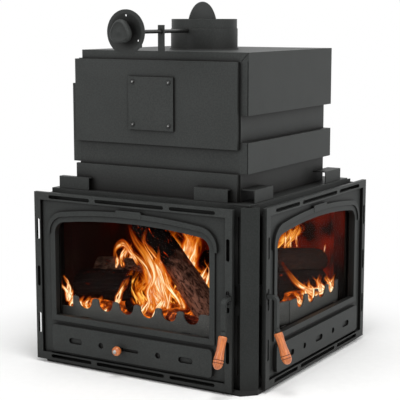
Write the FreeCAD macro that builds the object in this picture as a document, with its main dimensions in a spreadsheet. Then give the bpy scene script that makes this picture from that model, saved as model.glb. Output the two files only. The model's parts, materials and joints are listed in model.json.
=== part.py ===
import FreeCAD, Part
import math
import os

import Sketcher
from FreeCAD import Placement, Rotation, Vector

# Corner boiler fireplace insert, in millimetres, +Z up, origin at the centre of the base's underside.
# The front door faces -Y and the side door faces +X. The two are mirror images across the upright
# 45 degree plane through the origin and the corner post.

SIZES = [
    # slotted door frames
    ("frame_width", 684, "outside width of each slotted frame"),
    ("frame_height", 516, "outside height of each slotted frame"),
    ("frame_lift", 10, "height of the frames' lower edge above the floor"),
    ("corner_gap", 70, "from a frame's corner edge to the plane of the other frame"),
    ("frame_sheet", 3, "sheet thickness of the frames"),
    ("frame_return", 13, "depth of the frames' folded edges"),
    ("margin_side", 22, "width of the frames' upright margins"),
    ("margin_top", 23, "height of the frames' level margins"),
    ("slot_width", 11, "width of the frames' slots"),
    ("slot_inset", 13, "from a frame's outer edge to the slots' centre line"),
    ("slot_start", 54, "from a frame's side edge to its first level slot"),
    ("slot_short", 150, "length of the outer level slots"),
    ("slot_long", 238, "length of the middle level slots"),
    ("slot_upright", 63, "length of the upright slots"),
    ("slot_pitch", 145, "spacing of the upright slots"),
    # base and firebox
    ("base_overhang", 27, "from a frame's far edge to the base"),
    ("base_chamfer", 36, "chamfer on the base's corner"),
    ("base_sheet", 5, "thickness of the base's floor"),
    ("base_rim", 16, "height of the base's rim"),
    ("shell_sheet", 5, "sheet thickness of the firebox and boiler"),
    ("firebox_inset", 45, "from the front frame's far edge to the left wall"),
    ("firebox_depth", 690, "from the front frame's face to the back of the firebox"),
    ("firebox_top", 531, "height of the underside of the top plate"),
    ("seat_depth", 37.3, "from a frame's face to its door's sealing seat"),
    ("seat_ledge", 12, "width of seat left inside the rope seal"),
    ("hearth_level", 134, "height of the hearth floor's upper face"),
    ("hearth_sheet", 6, "thickness of the hearth floor"),
    ("throat_width", 400, "width of the smoke throat in the top plate"),
    ("throat_depth", 300, "depth of the smoke throat in the top plate"),
    ("brick", 30, "thickness of the firebricks"),
    ("brick_height", 300, "height of the firebricks"),
    ("brick_gap", 2, "joint between firebricks"),
    ("grate_width", 320, "width of the grate"),
    ("grate_depth", 240, "depth of the grate"),
    ("grate_thick", 12, "thickness of the grate"),
    ("grate_slot", 12, "width of the grate's slots"),
    ("grate_rest", 15, "overlap of the grate on the hearth floor"),
    ("ash_width", 360, "inside width of the ash pan's housing"),
    ("ash_length", 330, "length of the ash pan"),
    ("ash_height", 54, "height of the ash pan"),
    ("ash_rail", 62, "height of the rails under the ash pan"),
    ("ash_sheet", 2, "sheet thickness of the ash pan"),
    ("ash_play", 0.4, "gap between the ash pan and its housing"),
    # log fence behind the glass
    ("bracket_height", 500, "height of the brackets at the frames' far edges"),
    ("bracket_tab", 80, "height of the brackets' tabs behind the middle slots"),
    ("bracket_tab_width", 11, "width of the brackets' tabs"),
    ("fence_depth", 60, "from a frame's face to the log fence"),
    ("fence_sheet", 6, "thickness of the log fence"),
    ("fence_top", 203, "height of the fence's teeth"),
    ("fence_valley", 168, "height of the fence's notches"),
    ("fence_notch", 52, "width of a notch"),
    ("fence_round", 8, "rounding of the fence's teeth"),
    ("fence_pitch", 75.3, "spacing of the notches"),
    ("fence_start", 94, "from the front frame's far edge to the fence"),
    ("fence_low", 42, "length of the low strip from the fence to the left wall"),
    ("fence_front", 496, "length of the fence behind the front door"),
    ("fence_shift", 14, "how far the notches sit towards the doors' hinge sides"),
    ("fence_turn", 344, "from the front frame's face to the fence's side run"),
    ("fence_side", 345, "length of the fence behind the side door"),
    # corner post
    ("post_sheet", 4, "sheet thickness of the corner post"),
    ("post_face", 11, "from a frame's face to the near edge of the post's face"),
    ("post_side", 49, "from the other frame's face to that edge"),
    ("post_wing", 92, "reach of the post's wings from the corner"),
    ("post_top", 531, "height of the post"),
    ("vent_width", 17, "width of the slots in the post's wings"),
    ("vent_low", 54, "foot of the lower slot in the post's wings"),
    ("vent_low_length", 170, "length of the lower slot"),
    ("vent_high", 314, "foot of the upper slot in the post's wings"),
    ("vent_high_length", 188, "length of the upper slot"),
    # boiler on top of the firebox
    ("boiler_width", 548, "width of the boiler's body"),
    ("boiler_length", 532, "depth of the boiler's body"),
    ("boiler_front", 72, "from the front frame's face to the body"),
    ("boiler_side", 84, "from the side frame's face to the body"),
    ("boiler_top", 925, "height of the body"),
    ("jacket", 24, "depth of the water jackets on the roof, right side and back"),
    ("jacket_sheet", 4, "sheet thickness of the water jackets"),
    ("seam", 2, "width and depth of the seams on the right jackets"),
    ("front_jacket_proud", 12, "depth of the front jacket"),
    ("front_jacket_foot", 682, "lower edge of the front jacket"),
    ("front_jacket_head", 923, "upper edge of the front jacket"),
    ("front_jacket_left", 6, "reach of the front jacket past the body's left side"),
    ("front_jacket_right", 5, "from the front jacket to the body's right side"),
    ("neck_head", 614, "upper edge of the neck plate"),
    ("left_jacket_foot", 618, "lower edge of the left jacket"),
    ("left_jacket_head", 850, "upper edge of the left jacket"),
    ("roof_inset", 12, "from the body's left side to the roof jacket"),
    ("upper_jacket_foot", 777, "lower edge of the upper right jacket"),
    ("lower_jacket_foot", 616, "lower edge of the lower right jacket"),
    ("lower_jacket_head", 702, "upper edge of the lower right jacket"),
    ("rear_jacket_foot", 560, "lower edge of the rear jacket"),
    ("rear_jacket_inset", 40, "from the rear jacket to the body's sides"),
    ("cover_size", 152, "side of the square cleaning cover"),
    ("cover_sheet", 4, "thickness of the cleaning cover"),
    ("cover_seal", 2, "thickness of the cover's gasket"),
    ("cover_drop", 2.5, "from the front jacket's middle down to the cover's centre"),
    ("cover_centre", 385, "from the front frame's far edge to the cover's centre"),
    ("cover_screw_pitch", 122, "spacing of the cover's screws"),
    ("cover_screw", 4, "radius of the cover's screws"),
    ("cover_screw_head", 5.6, "radius of the cover screws' heads"),
    ("hatch", 96, "side of the square cleaning hole"),
    ("tube_outer", 24, "outside radius of the water tubes"),
    ("tube_inner", 20, "inside radius of the water tubes"),
    ("tube_pitch", 82, "spacing of the water tubes"),
    ("tube_height", 659, "height of the row of water tubes"),
    ("baffle_height", 800, "height of the smoke baffle"),
    ("baffle_gap", 130, "smoke gap between the baffle and the body's front"),
    ("neck_angle_width", 108, "width of the angles round the neck"),
    ("neck_angle_height", 37, "height of the angles round the neck"),
    ("neck_angle_sheet", 3, "sheet thickness of the angles round the neck"),
    ("front_angle_near", 108, "from the corner to the near angle at the front"),
    ("front_angle_far", 580, "from the corner to the far angle at the front"),
    ("side_angle_near", 75, "from the corner to the near angle at the side"),
    ("side_angle_far", 533, "from the corner to the far angle at the side"),
    ("socket_outer", 21, "outside radius of the water sockets"),
    ("socket_inner", 15.15, "bore radius of the water sockets"),
    ("socket_length", 40, "length of the water sockets"),
    ("socket_reach", 190, "from the boiler's middle to the water sockets"),
    ("flow_height", 870, "height of the flow socket"),
    ("return_height", 600, "height of the return socket"),
    ("sensor_outer", 13, "outside radius of the sensor socket"),
    ("sensor_inner", 9.3, "bore radius of the sensor socket"),
    # flue collar and damper
    ("flue_x", 26, "flue centre, to the right of the origin"),
    ("flue_y", -58, "flue centre, behind the origin"),
    ("flue_radius", 100, "outside radius of the flue collar"),
    ("flue_wall", 4, "wall of the flue collar"),
    ("flue_neck", 2, "step in radius where the flue pipe seats"),
    ("flue_neck_length", 28, "length of the flue pipe's seat"),
    ("flue_top", 1038, "height of the flue collar's rim"),
    ("damper_height", 1004, "height of the damper shaft"),
    ("damper_radius", 85, "radius of the damper disc"),
    ("damper_sheet", 3, "thickness of the damper disc"),
    ("disc_seat", 1, "depth of the disc's seat on the shaft"),
    ("shaft_radius", 5.5, "radius of the damper shaft"),
    ("running_gap", 0.05, "radial clearance of every shaft and pin"),
    ("fixed_gap", 0.3, "gap round curved pieces that do not turn"),
    ("rosette_radius", 61, "radius of the damper's rosette"),
    ("rosette_sheet", 3, "thickness of the rosette"),
    ("rosette_dish", 10, "depth of the rosette's dish"),
    ("rosette_hub", 11, "radius of the rosette's hub"),
    ("rosette_rim", 10, "width of the rosette's flat rim"),
    ("rosette_hole", 3, "radius of the rosette's screw holes"),
    ("rosette_pitch", 45, "from the rosette's centre to its screw holes"),
    ("rosette_reach", 90, "from the front frame's face to the rosette"),
    ("knob_radius", 34, "radius of the damper's knob"),
    ("knob_length", 34, "length of the damper's knob"),
    ("knob_flute", 5, "radius of the flutes round the knob"),
    ("knob_play", 1, "gap between the knob and the rosette"),
    ("pointer", 5, "width of the knob's pointer"),
    ("stop_gap", 12, "from the rosette to the stop arm"),
    ("stop_thick", 10, "thickness of the stop arm"),
    ("stop_drop", 32, "from the shaft to the stop arm's foot"),
    ("stop_reach", 30, "reach of the stop arm's foot"),
    ("post_bar", 20, "width of the shaft's standard"),
    ("post_bar_sheet", 5, "thickness of the shaft's standard"),
    ("post_bar_top", 1022, "height of the shaft's standard"),
    # doors
    ("door_gap", 2, "gap between a door and its frame"),
    ("door_recess", 9, "from a frame's face to its door's face"),
    ("door_thick", 20, "thickness of the doors"),
    ("door_lip", 12, "thickness of the doors in front of the glass"),
    ("knuckle", 10, "from a door's face to its pivot, and half of a lug's width"),
    ("hinge_inset", 18, "from a door's hinge edge to its pivot"),
    ("hinge_bevel", 12, "bevel on the rear of a door's hinge edge"),
    ("pin_radius", 4, "radius of the hinge pins"),
    ("pin_length", 40, "length of the hinge pins"),
    ("pin_room", 0.02, "radial gap round a hinge pin in its door"),
    ("pin_reach", 15, "length of a hinge pin outside the door"),
    ("door_play", 0.3, "gap between a door and its hinge lugs"),
    ("window_half", 268.5, "half of the window's width"),
    ("window_shift", 0.5, "from the door's middle to the window's, away from the corner"),
    ("window_sill", 143.5, "height of the window's foot above the frame's lower edge"),
    ("window_crown", 446, "height of the window's crown above the frame's lower edge"),
    ("window_arc", 1755, "radius of the window's arched top"),
    ("window_round", 35, "radius of the window's upper corners"),
    ("rim_width", 17, "width of the raised rim round the window"),
    ("rim_proud", 5, "height of the raised rim"),
    ("brow_width", 14, "width of the eyebrow moulding over the window"),
    ("brow_side", 8, "width of the eyebrow moulding at its ends"),
    ("brow_proud", 9, "height of the eyebrow moulding"),
    ("brow_end", 392, "height of the moulding's ends above the frame's lower edge"),
    ("tablet_width", 88, "width of the bare tablet over the window"),
    ("tablet_height", 20, "height of the bare tablet"),
    ("tablet_proud", 10, "how far the tablet stands off the door"),
    ("glass_edge", 6, "cover of the glass behind the window's edge"),
    ("glass_room", 2, "gap round the glass in its recess"),
    ("glass_thick", 4, "thickness of the glass"),
    ("glass_seal", 2, "thickness of the glass seal"),
    ("clip_width", 30, "width of the glass clips"),
    ("clip_length", 32, "length of the glass clips"),
    ("clip_nose", 6, "length of a clip's nose on the glass"),
    ("clip_sheet", 2, "thickness of the glass clips"),
    ("clip_reach", 180, "from the window's middle to the glass clips"),
    ("rope_width", 8, "width of the rope seal"),
    ("rope_side", 22, "from a door's upright edges to the rope seal"),
    ("rope_end", 10, "from a door's level edges to the rope seal"),
    ("rope_squeeze", 0.3, "gap left between the rope seal and its seat"),
    ("rope_groove", 2, "depth of the rope seal's groove"),
    ("panel_half", 280, "half of the raised lower panel's width"),
    ("panel_foot", 34, "height of the panel's foot above the frame's lower edge"),
    ("panel_head", 115, "height of the panel's head above the frame's lower edge"),
    ("panel_round", 12, "radius of the panel's corners"),
    ("panel_proud", 12, "how far the panel stands off the door"),
    ("panel_wall", 6, "wall of the hollow panel"),
    ("panel_border", 10, "edge left above and below the hollow in the panel"),
    ("panel_end", 6, "edge left beside the hollow in the panel"),
    ("air_height", 72, "height of the air holes above the frame's lower edge"),
    ("air_bore", 9, "radius of the round air holes"),
    ("air_oblong", 48, "length of the oblong air holes"),
    ("air_near", 100, "from the panel's middle to the round air holes"),
    ("air_far", 193.5, "from the panel's middle to the oblong air holes"),
    ("slider_travel", 56, "travel of the air slider"),
    ("slider_slot", 10, "width of the slider's slot"),
    ("slider_stem", 3, "radius of the slider's stem"),
    ("slider_sheet", 3, "thickness of the air plate"),
    ("slider_play", 0.4, "gap round the air plate in its channel"),
    ("slider_lip", 10, "height of the channel's lips"),
    ("slider_knob", 13.6, "radius of the slider's wooden knob"),
    ("slider_stand", 10, "from the panel to the slider's knob"),
    # latches
    ("latch_height", 269, "height of the latch spindles above the frames' lower edge"),
    ("spindle", 5, "radius of the latch spindles"),
    ("latch_hub", 9, "radius of the latch hubs"),
    ("latch_stand", 34, "from a frame's face to the front of the lever"),
    ("lever_width", 14, "width of the latch levers"),
    ("lever_thick", 9, "thickness of the latch levers"),
    ("lever_drop", 92, "from the spindle to the foot of the lever"),
    ("lever_bend", 16, "radius of the lever's rounded head"),
    ("lever_shift", 5, "how far the levers stand off their spindles towards the corner"),
    ("lever_gap", 1, "gap between the frame and the lever"),
    ("cam_width", 12, "width of the latch cam"),
    ("cam_reach", 16, "reach of the latch cam"),
    ("cam_thick", 3, "thickness of the latch cam"),
    ("cam_play", 0.4, "gap between the cam and the frame's sheet"),
    ("bearing_width", 16, "width of the latch bearings"),
    ("bearing_leg", 8, "width of the bearings' legs"),
    ("bearing_room", 4, "gap between the cam and its bearing"),
    ("ferrule", 8, "radius of the ferrule over the grip"),
    ("ferrule_length", 8, "length of the ferrule over the grip"),
    ("grip_length", 92, "length of the wooden grips"),
    ("grip_radius", 14.5, "largest radius of the wooden grips"),
    ("grip_head", 12.5, "radius of the grips' flared head"),
    ("grip_waist", 11.5, "radius of the grips' waist"),
    ("grip_tilt", 21.5, "lean of the grips away from the doors, in degrees"),
]

MIRROR = Vector(1, 1, 0)
UPRIGHT = Rotation()
FRONTWARD = Rotation(Vector(1, 0, 0), 90)
SIDEWARD = Rotation(Vector(0, 1, 0), Vector(0, 0, 1), Vector(1, 0, 0), "ZXY")
ALONG = {"x": Rotation(Vector(0, 1, 0), 90), "y": Rotation(Vector(1, 0, 0), -90), "z": Rotation()}

doc = FreeCAD.newDocument("boiler_insert")
sheet = doc.addObject("Spreadsheet::Sheet", "Sizes")
for row, (name, value, meaning) in enumerate(SIZES, 1):
    sheet.set(f"A{row}", meaning)
    sheet.set(f"B{row}", str(value))
    sheet.setAlias(f"B{row}", name)
doc.recompute()


class Size:
    """A length with its value in millimetres and the sheet expression that drives it."""

    def __init__(self, value, text):
        self.value = value
        self.text = text

    def __add__(self, other):
        other = as_size(other)
        return Size(self.value + other.value, f"({self.text} + {other.text})")

    def __sub__(self, other):
        other = as_size(other)
        return Size(self.value - other.value, f"({self.text} - {other.text})")

    def __mul__(self, other):
        other = as_size(other)
        return Size(self.value * other.value, f"({self.text} * {other.text})")

    def __truediv__(self, other):
        other = as_size(other)
        return Size(self.value / other.value, f"({self.text} / {other.text})")

    def __radd__(self, other):
        return as_size(other) + self

    def __rsub__(self, other):
        return as_size(other) - self

    def __neg__(self):
        return Size(-self.value, f"(0 - {self.text})")


def as_size(number):
    """Lets plain numbers stand beside sheet sizes."""
    return number if isinstance(number, Size) else Size(float(number), f"({number})")


def root(square):
    return Size(math.sqrt(square.value), f"sqrt({square.text})")


class Sheet:
    """Hands out the sheet's sizes by name."""

    def __getattr__(self, name):
        return Size(float(sheet.get(name)), f"Sizes.{name}")


s = Sheet()
ZERO = as_size(0)
corner = (s.frame_width + s.corner_gap + s.frame_return - s.base_overhang) / 2
frame_right = corner - s.corner_gap
frame_left = frame_right - s.frame_width
frame_top = s.frame_lift + s.frame_height
frame_middle = (frame_left + frame_right) / 2
nodes = {}


def depth(distance):
    """Y at a distance behind the front frame's face; a negative distance stands in front of it."""
    return distance - corner


def bind(thing, **sizes):
    for property_name, size in sizes.items():
        thing.setExpression(property_name, as_size(size).text)


def place(thing, x, y, z):
    for axis, size in zip("xyz", (x, y, z)):
        thing.setExpression("Placement.Base." + axis, as_size(size).text)


def block(name, x, y, z):
    """A box between pairs of limits."""
    box = doc.addObject("Part::Box", name)
    bind(box, Length=x[1] - x[0], Width=y[1] - y[0], Height=z[1] - z[0])
    place(box, x[0], y[0], z[0])
    return box


def rod(name, radius, start, length, axis):
    """A cylinder from its start point along X, Y or Z."""
    cylinder = doc.addObject("Part::Cylinder", name)
    cylinder.Placement = Placement(Vector(), ALONG[axis])
    bind(cylinder, Radius=radius, Height=length)
    place(cylinder, *start)
    return cylinder


def join(name, *pieces):
    fused = doc.addObject("Part::MultiFuse", name)
    fused.Shapes = list(pieces)
    fused.Refine = True
    return fused


def cut(name, base, *tools):
    result = doc.addObject("Part::Cut", name)
    result.Base = base
    result.Tool = tools[0] if len(tools) == 1 else join(name + "_tools", *tools)
    result.Refine = True
    return result


def group(name, *solids):
    together = doc.addObject("Part::Compound", name)
    together.Links = list(solids)
    return together


def mirrored(name, source):
    """The side door's twin of a piece at the front door."""
    twin = doc.addObject("Part::Mirroring", name)
    twin.Source = source
    twin.Base = Vector(0, 0, 0)
    twin.Normal = MIRROR
    return twin


def node(name, piece):
    piece.Label = name
    nodes[name] = piece
    return piece


def node_pair(name, front, twin=None):
    """Keeps a front piece and its mirrored twin as two nodes."""
    node("front_" + name, front)
    node("side_" + name, mirrored(name + "_twin", front if twin is None else twin))


class Arc:
    """An arc's centre, with its sense, for the stretch that starts at a corner of an outline."""

    def __init__(self, x, y, clockwise=False):
        self.x = as_size(x)
        self.y = as_size(y)
        self.clockwise = clockwise


def vector(point):
    return Vector(as_size(point[0]).value, as_size(point[1]).value, 0)


def stretch(sketch, start, end):
    """Draws a line or an arc between two corners; gives its number, start end and far end."""
    if len(start) == 2:
        return sketch.addGeometry(Part.LineSegment(vector(start), vector(end))), 1, 2
    arc = start[2]
    centre = Vector(arc.x.value, arc.y.value, 0)
    first, last = (end, start) if arc.clockwise else (start, end)
    from_centre = [vector(point) - centre for point in (first, last)]
    angles = [math.atan2(arm.y, arm.x) for arm in from_centre]
    circle = Part.Circle(centre, Vector(0, 0, 1), from_centre[0].Length)
    number = sketch.addGeometry(Part.ArcOfCircle(circle, angles[0], angles[1]))
    return (number, 2, 1) if arc.clockwise else (number, 1, 2)


def tie(sketch, kind, number, end, size):
    """Ties one coordinate of a sketch point to the sheet."""
    place_in_list = sketch.addConstraint(Sketcher.Constraint(kind, -1, 1, number, end, size.value))
    sketch.setExpression(f"Constraints[{place_in_list}]", size.text)


def draw(sketch, outline):
    """Draws a closed outline with every corner and every arc's centre tied to the sheet."""
    ends = outline[1:] + outline[:1]
    drawn = [stretch(sketch, start, end) for start, end in zip(outline, ends)]
    for (number, _, far), (following, near, _) in zip(drawn, drawn[1:] + drawn[:1]):
        sketch.addConstraint(Sketcher.Constraint("Coincident", number, far, following, near))
    for start, end, (number, near, _) in zip(outline, ends, drawn):
        tie(sketch, "DistanceX", number, near, as_size(start[0]))
        tie(sketch, "DistanceY", number, near, as_size(start[1]))
        if len(start) == 3:
            chord = vector(end) - vector(start)
            if abs(chord.y) > abs(chord.x):
                tie(sketch, "DistanceX", number, 3, start[2].x)
            else:
                tie(sketch, "DistanceY", number, 3, start[2].y)


def new_body(name, turn, at):
    body = doc.addObject("PartDesign::Body", name)
    body.Placement = Placement(Vector(), turn)
    place(body, *at)
    return body


def new_sketch(body, name, outlines, height=ZERO):
    """A sketch at a height over the body's XY plane."""
    sketch = body.newObject("Sketcher::SketchObject", name)
    plane = next(item for item in body.Origin.OriginFeatures if item.Role == "XY_Plane")
    sketch.AttachmentSupport = (plane, [""])
    sketch.MapMode = "FlatFace"
    sketch.setExpression("AttachmentOffset.Base.z", as_size(height).text)
    for outline in outlines:
        draw(sketch, outline)
    return sketch


def raise_layer(body, name, outlines, low, high):
    """Adds material inside outlines between two heights."""
    pad = body.newObject("PartDesign::Pad", name)
    pad.Profile = new_sketch(body, name + "_sketch", outlines, low)
    bind(pad, Length=high - low)
    return pad


def sink_layer(body, name, outlines, low, high):
    """Takes material away inside outlines between two heights."""
    pocket = body.newObject("PartDesign::Pocket", name)
    pocket.Profile = new_sketch(body, name + "_sketch", outlines, high)
    bind(pocket, Length=high - low)
    return pocket


def prism(name, outlines, length, turn=UPRIGHT, at=(ZERO, ZERO, ZERO)):
    """Outlines carried along a straight line."""
    body = new_body(name, turn, at)
    raise_layer(body, name + "_pad", outlines, ZERO, length)
    return body


def turned(name, outline, turn, at):
    """An outline turned about its upright axis."""
    body = new_body(name, turn, at)
    spin = body.newObject("PartDesign::Revolution", name + "_spin")
    profile = new_sketch(body, name + "_sketch", [outline])
    spin.Profile = profile
    spin.ReferenceAxis = (profile, ["V_Axis"])
    spin.Angle = 360
    return body


def rectangle(x, y):
    return [(x[0], y[0]), (x[1], y[0]), (x[1], y[1]), (x[0], y[1])]


def rounded_rectangle(x, y, radius):
    left, right = x[0] + radius, x[1] - radius
    low, high = y[0] + radius, y[1] - radius
    return [
        (left, y[0]), (right, y[0], Arc(right, low)),
        (x[1], low), (x[1], high, Arc(right, high)),
        (right, y[1]), (left, y[1], Arc(left, high)),
        (x[0], high), (x[0], low, Arc(left, low)),
    ]


def level_slot(x, y, length, width):
    """A round-ended slot about its middle, lying along the first axis."""
    reach = (length - width) / 2
    half = width / 2
    return [
        (x - reach, y - half), (x + reach, y - half, Arc(x + reach, y)),
        (x + reach, y + half), (x - reach, y + half, Arc(x - reach, y)),
    ]


def upright_slot(x, y, length, width):
    reach = (length - width) / 2
    half = width / 2
    return [
        (x + half, y - reach), (x + half, y + reach, Arc(x, y + reach)),
        (x - half, y + reach), (x - half, y - reach, Arc(x, y - reach)),
    ]


def round_hole(x, y, radius):
    return [(x - radius, y, Arc(x, y)), (x + radius, y, Arc(x, y))]


# Slotted frames round the doors


def slotted_frame():
    """A sheet tray: a slotted face with its four edges folded back."""
    body = new_body("frame", FRONTWARD, (ZERO, depth(s.frame_sheet), ZERO))
    across = (frame_left, frame_right)
    upward = (s.frame_lift, frame_top)
    opening = rectangle(
        (frame_left + s.margin_side, frame_right - s.margin_side),
        (s.frame_lift + s.margin_top, frame_top - s.margin_top),
    )
    outlines = [rectangle(across, upward), opening]
    short_reach = s.frame_width / 2 - s.slot_start - s.slot_short / 2
    for z in (s.frame_lift + s.slot_inset, frame_top - s.slot_inset):
        outlines.append(level_slot(frame_middle - short_reach, z, s.slot_short, s.slot_width))
        outlines.append(level_slot(frame_middle, z, s.slot_long, s.slot_width))
        outlines.append(level_slot(frame_middle + short_reach, z, s.slot_short, s.slot_width))
    for x in (frame_left + s.slot_inset, frame_right - s.slot_inset):
        for step in (-1, 0, 1):
            z = s.frame_lift + s.frame_height / 2 + s.slot_pitch * step
            outlines.append(upright_slot(x, z, s.slot_upright, s.slot_width))
    raise_layer(body, "frame_face", outlines, ZERO, s.frame_sheet)
    inside = rectangle(
        (frame_left + s.frame_sheet, frame_right - s.frame_sheet),
        (s.frame_lift + s.frame_sheet, frame_top - s.frame_sheet),
    )
    folds = [rectangle(across, upward), inside]
    raise_layer(body, "frame_folds", folds, s.frame_sheet - s.frame_return, ZERO)
    return body


node_pair("frame", slotted_frame())

# Base tray

base_reach = corner - s.frame_return


def base_outline(inset):
    """The base's square with one chamfered corner, drawn in by an inset."""
    reach = base_reach - inset
    nick = s.base_chamfer - inset * (2 - math.sqrt(2))
    return [(-reach, -reach), (reach - nick, -reach), (reach, -reach + nick), (reach, reach), (-reach, reach)]


base = prism("base", [base_outline(ZERO)], s.base_sheet)
raise_layer(base, "base_rim", [base_outline(ZERO), base_outline(s.base_sheet)], s.base_sheet, s.base_rim)
node("base_tray", base)

# Firebox

wall_left = frame_left + s.firebox_inset
wall_inside = wall_left + s.shell_sheet
seat_back = s.seat_depth + s.shell_sheet
firebox_right = corner - seat_back
back_outside = depth(s.firebox_depth)
back_inside = back_outside - s.shell_sheet
door_left = frame_left + s.margin_side + s.door_gap
door_right = frame_right - s.margin_side - s.door_gap
door_foot = s.frame_lift + s.margin_top + s.door_gap
door_head = frame_top - s.margin_top - s.door_gap

shell_outline = [
    (wall_left, depth(seat_back)), (wall_inside, depth(seat_back)), (wall_inside, back_inside),
    (firebox_right, back_inside), (firebox_right, back_outside), (wall_left, back_outside),
]
shell = prism("shell", [shell_outline], s.firebox_top - s.base_sheet, UPRIGHT, (ZERO, ZERO, s.base_sheet))
node("firebox_shell", shell)

rope_inner_side = s.rope_side + s.rope_width + s.seat_ledge
rope_inner_end = s.rope_end + s.rope_width + s.seat_ledge
seat_opening = rectangle(
    (door_left + rope_inner_side, door_right - rope_inner_side),
    (door_foot + rope_inner_end, door_head - rope_inner_end),
)
seat_outline = rectangle((wall_left - s.shell_sheet, firebox_right), (s.base_sheet, s.firebox_top))
seat = prism("seat", [seat_outline, seat_opening], s.shell_sheet, FRONTWARD, (ZERO, depth(seat_back), ZERO))
node_pair("door_seat", seat)

boiler_right = corner - s.boiler_side
boiler_left = boiler_right - s.boiler_width
boiler_near = depth(s.boiler_front)
boiler_far = boiler_near + s.boiler_length
boiler_middle = (boiler_left + boiler_right) / 2
boiler_centre = (boiler_near + boiler_far) / 2
boiler_foot = s.firebox_top + s.shell_sheet

plate_right = corner - s.seat_depth
top_outline = rectangle((wall_left - s.shell_sheet, plate_right), (depth(s.seat_depth), back_outside))
throat = rectangle(
    (boiler_middle - s.throat_width / 2, boiler_middle + s.throat_width / 2),
    (boiler_centre - s.throat_depth / 2, boiler_centre + s.throat_depth / 2),
)
top = prism("top", [top_outline, throat], s.shell_sheet, UPRIGHT, (ZERO, ZERO, s.firebox_top))
node("top_plate", top)

# Hearth floor, grate, ash housing and ash pan

hearth_x = (wall_inside + firebox_right) / 2
ash_near = depth(seat_back + s.rope_width)
ash_far = ash_near + s.ash_length
grate_y = (ash_near + ash_far) / 2
hearth_under = s.hearth_level - s.hearth_sheet


def centred(middle, length):
    return (middle - length / 2, middle + length / 2)


hearth_hole = rectangle(
    centred(hearth_x, s.grate_width - s.grate_rest * 2), centred(grate_y, s.grate_depth - s.grate_rest * 2)
)
hearth_outline = rectangle((wall_inside, firebox_right), (depth(seat_back), back_inside))
hearth = prism("hearth", [hearth_outline, hearth_hole], s.hearth_sheet, UPRIGHT, (ZERO, ZERO, hearth_under))
node("hearth_floor", hearth)

GRATE_SLOTS = 9
grate_outlines = [rectangle(centred(hearth_x, s.grate_width), centred(grate_y, s.grate_depth))]
slot_pitch = (s.grate_width - s.grate_rest * 2) / GRATE_SLOTS
for index in range(GRATE_SLOTS):
    slot_x = hearth_x + slot_pitch * (index - (GRATE_SLOTS - 1) / 2)
    grate_outlines.append(upright_slot(slot_x, grate_y, s.grate_depth - s.grate_rest * 4, s.grate_slot))
grate = prism("grate", grate_outlines, s.grate_thick, UPRIGHT, (ZERO, ZERO, s.hearth_level))
node("grate", grate)

housing_x = centred(hearth_x, s.ash_width)
housing_outer = (housing_x[0] - s.shell_sheet, housing_x[1] + s.shell_sheet)
housing_far = ash_far + s.shell_sheet
housing_walls = cut(
    "housing_walls",
    block("housing_block", housing_outer, (ash_near, housing_far), (s.base_sheet, hearth_under)),
    block("housing_room", housing_x, (ash_near, ash_far), (s.base_sheet, hearth_under)),
)
RAIL_WIDTH = 20
rail_z = (s.ash_rail - s.shell_sheet, s.ash_rail)
rails = [
    block("rail_left", (housing_x[0], housing_x[0] + RAIL_WIDTH), (ash_near, ash_far), rail_z),
    block("rail_right", (housing_x[1] - RAIL_WIDTH, housing_x[1]), (ash_near, ash_far), rail_z),
]
node("ash_housing", join("housing", housing_walls, *rails))

pan_x = (housing_x[0] + s.ash_play, housing_x[1] - s.ash_play)
pan_y = (ash_near, ash_far - s.ash_play)
pan_z = (s.ash_rail, s.ash_rail + s.ash_height)
pan_hollow = block(
    "pan_hollow",
    (pan_x[0] + s.ash_sheet, pan_x[1] - s.ash_sheet),
    (pan_y[0] + s.ash_sheet, pan_y[1] - s.ash_sheet),
    (pan_z[0] + s.ash_sheet, pan_z[1]),
)
node("ash_pan", cut("pan", block("pan_block", pan_x, pan_y, pan_z), pan_hollow))

# Firebricks along the back and the left wall

BRICKS = 3
brick_top = s.hearth_level + s.brick_height


def brick_row(name, start, end, across, along_x):
    """Equal bricks side by side between two limits."""
    pitch = (end - start + s.brick_gap) / BRICKS
    bricks = []
    for index in range(BRICKS):
        low = start + pitch * index
        span = (low, low + pitch - s.brick_gap)
        x, y = (span, across) if along_x else (across, span)
        bricks.append(block(f"{name}_{index}", x, y, (s.hearth_level, brick_top)))
    return bricks


brick_near = depth(s.fence_depth + s.fence_sheet * 3)
left_bricks = brick_row("left_brick", brick_near, back_inside, (wall_inside, wall_inside + s.brick), False)
back_bricks = brick_row(
    "back_brick",
    wall_inside + s.brick + s.brick_gap,
    corner - s.fence_depth - s.fence_sheet * 3,
    (back_inside - s.brick, back_inside),
    True,
)
node("firebricks", group("bricks", *left_bricks, *back_bricks))

# Log fence: three scalloped plates meeting behind the doors


def scallops(length, shift=ZERO):
    """A plate's outline with even round-bottomed notches along its top, shifted off its middle."""
    count = int((length.value - s.fence_notch.value / 2) // s.fence_pitch.value)
    radius = s.fence_notch / 2
    shoulder = s.fence_top - s.fence_round
    outline = [(ZERO, s.hearth_level), (length, s.hearth_level), (length, s.fence_top)]
    for index in reversed(range(count)):
        x = length / 2 + shift + s.fence_pitch * (index - (count - 1) / 2)
        level = s.fence_valley + radius
        outline.append((x + radius + s.fence_round, s.fence_top, Arc(x + radius + s.fence_round, shoulder)))
        outline.append((x + radius, shoulder))
        outline.append((x + radius, level, Arc(x, level, clockwise=True)))
        outline.append((x - radius, level))
        outline.append((x - radius, shoulder, Arc(x - radius - s.fence_round, shoulder)))
        outline.append((x - radius - s.fence_round, s.fence_top))
    outline.append((ZERO, s.fence_top))
    return outline


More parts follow.
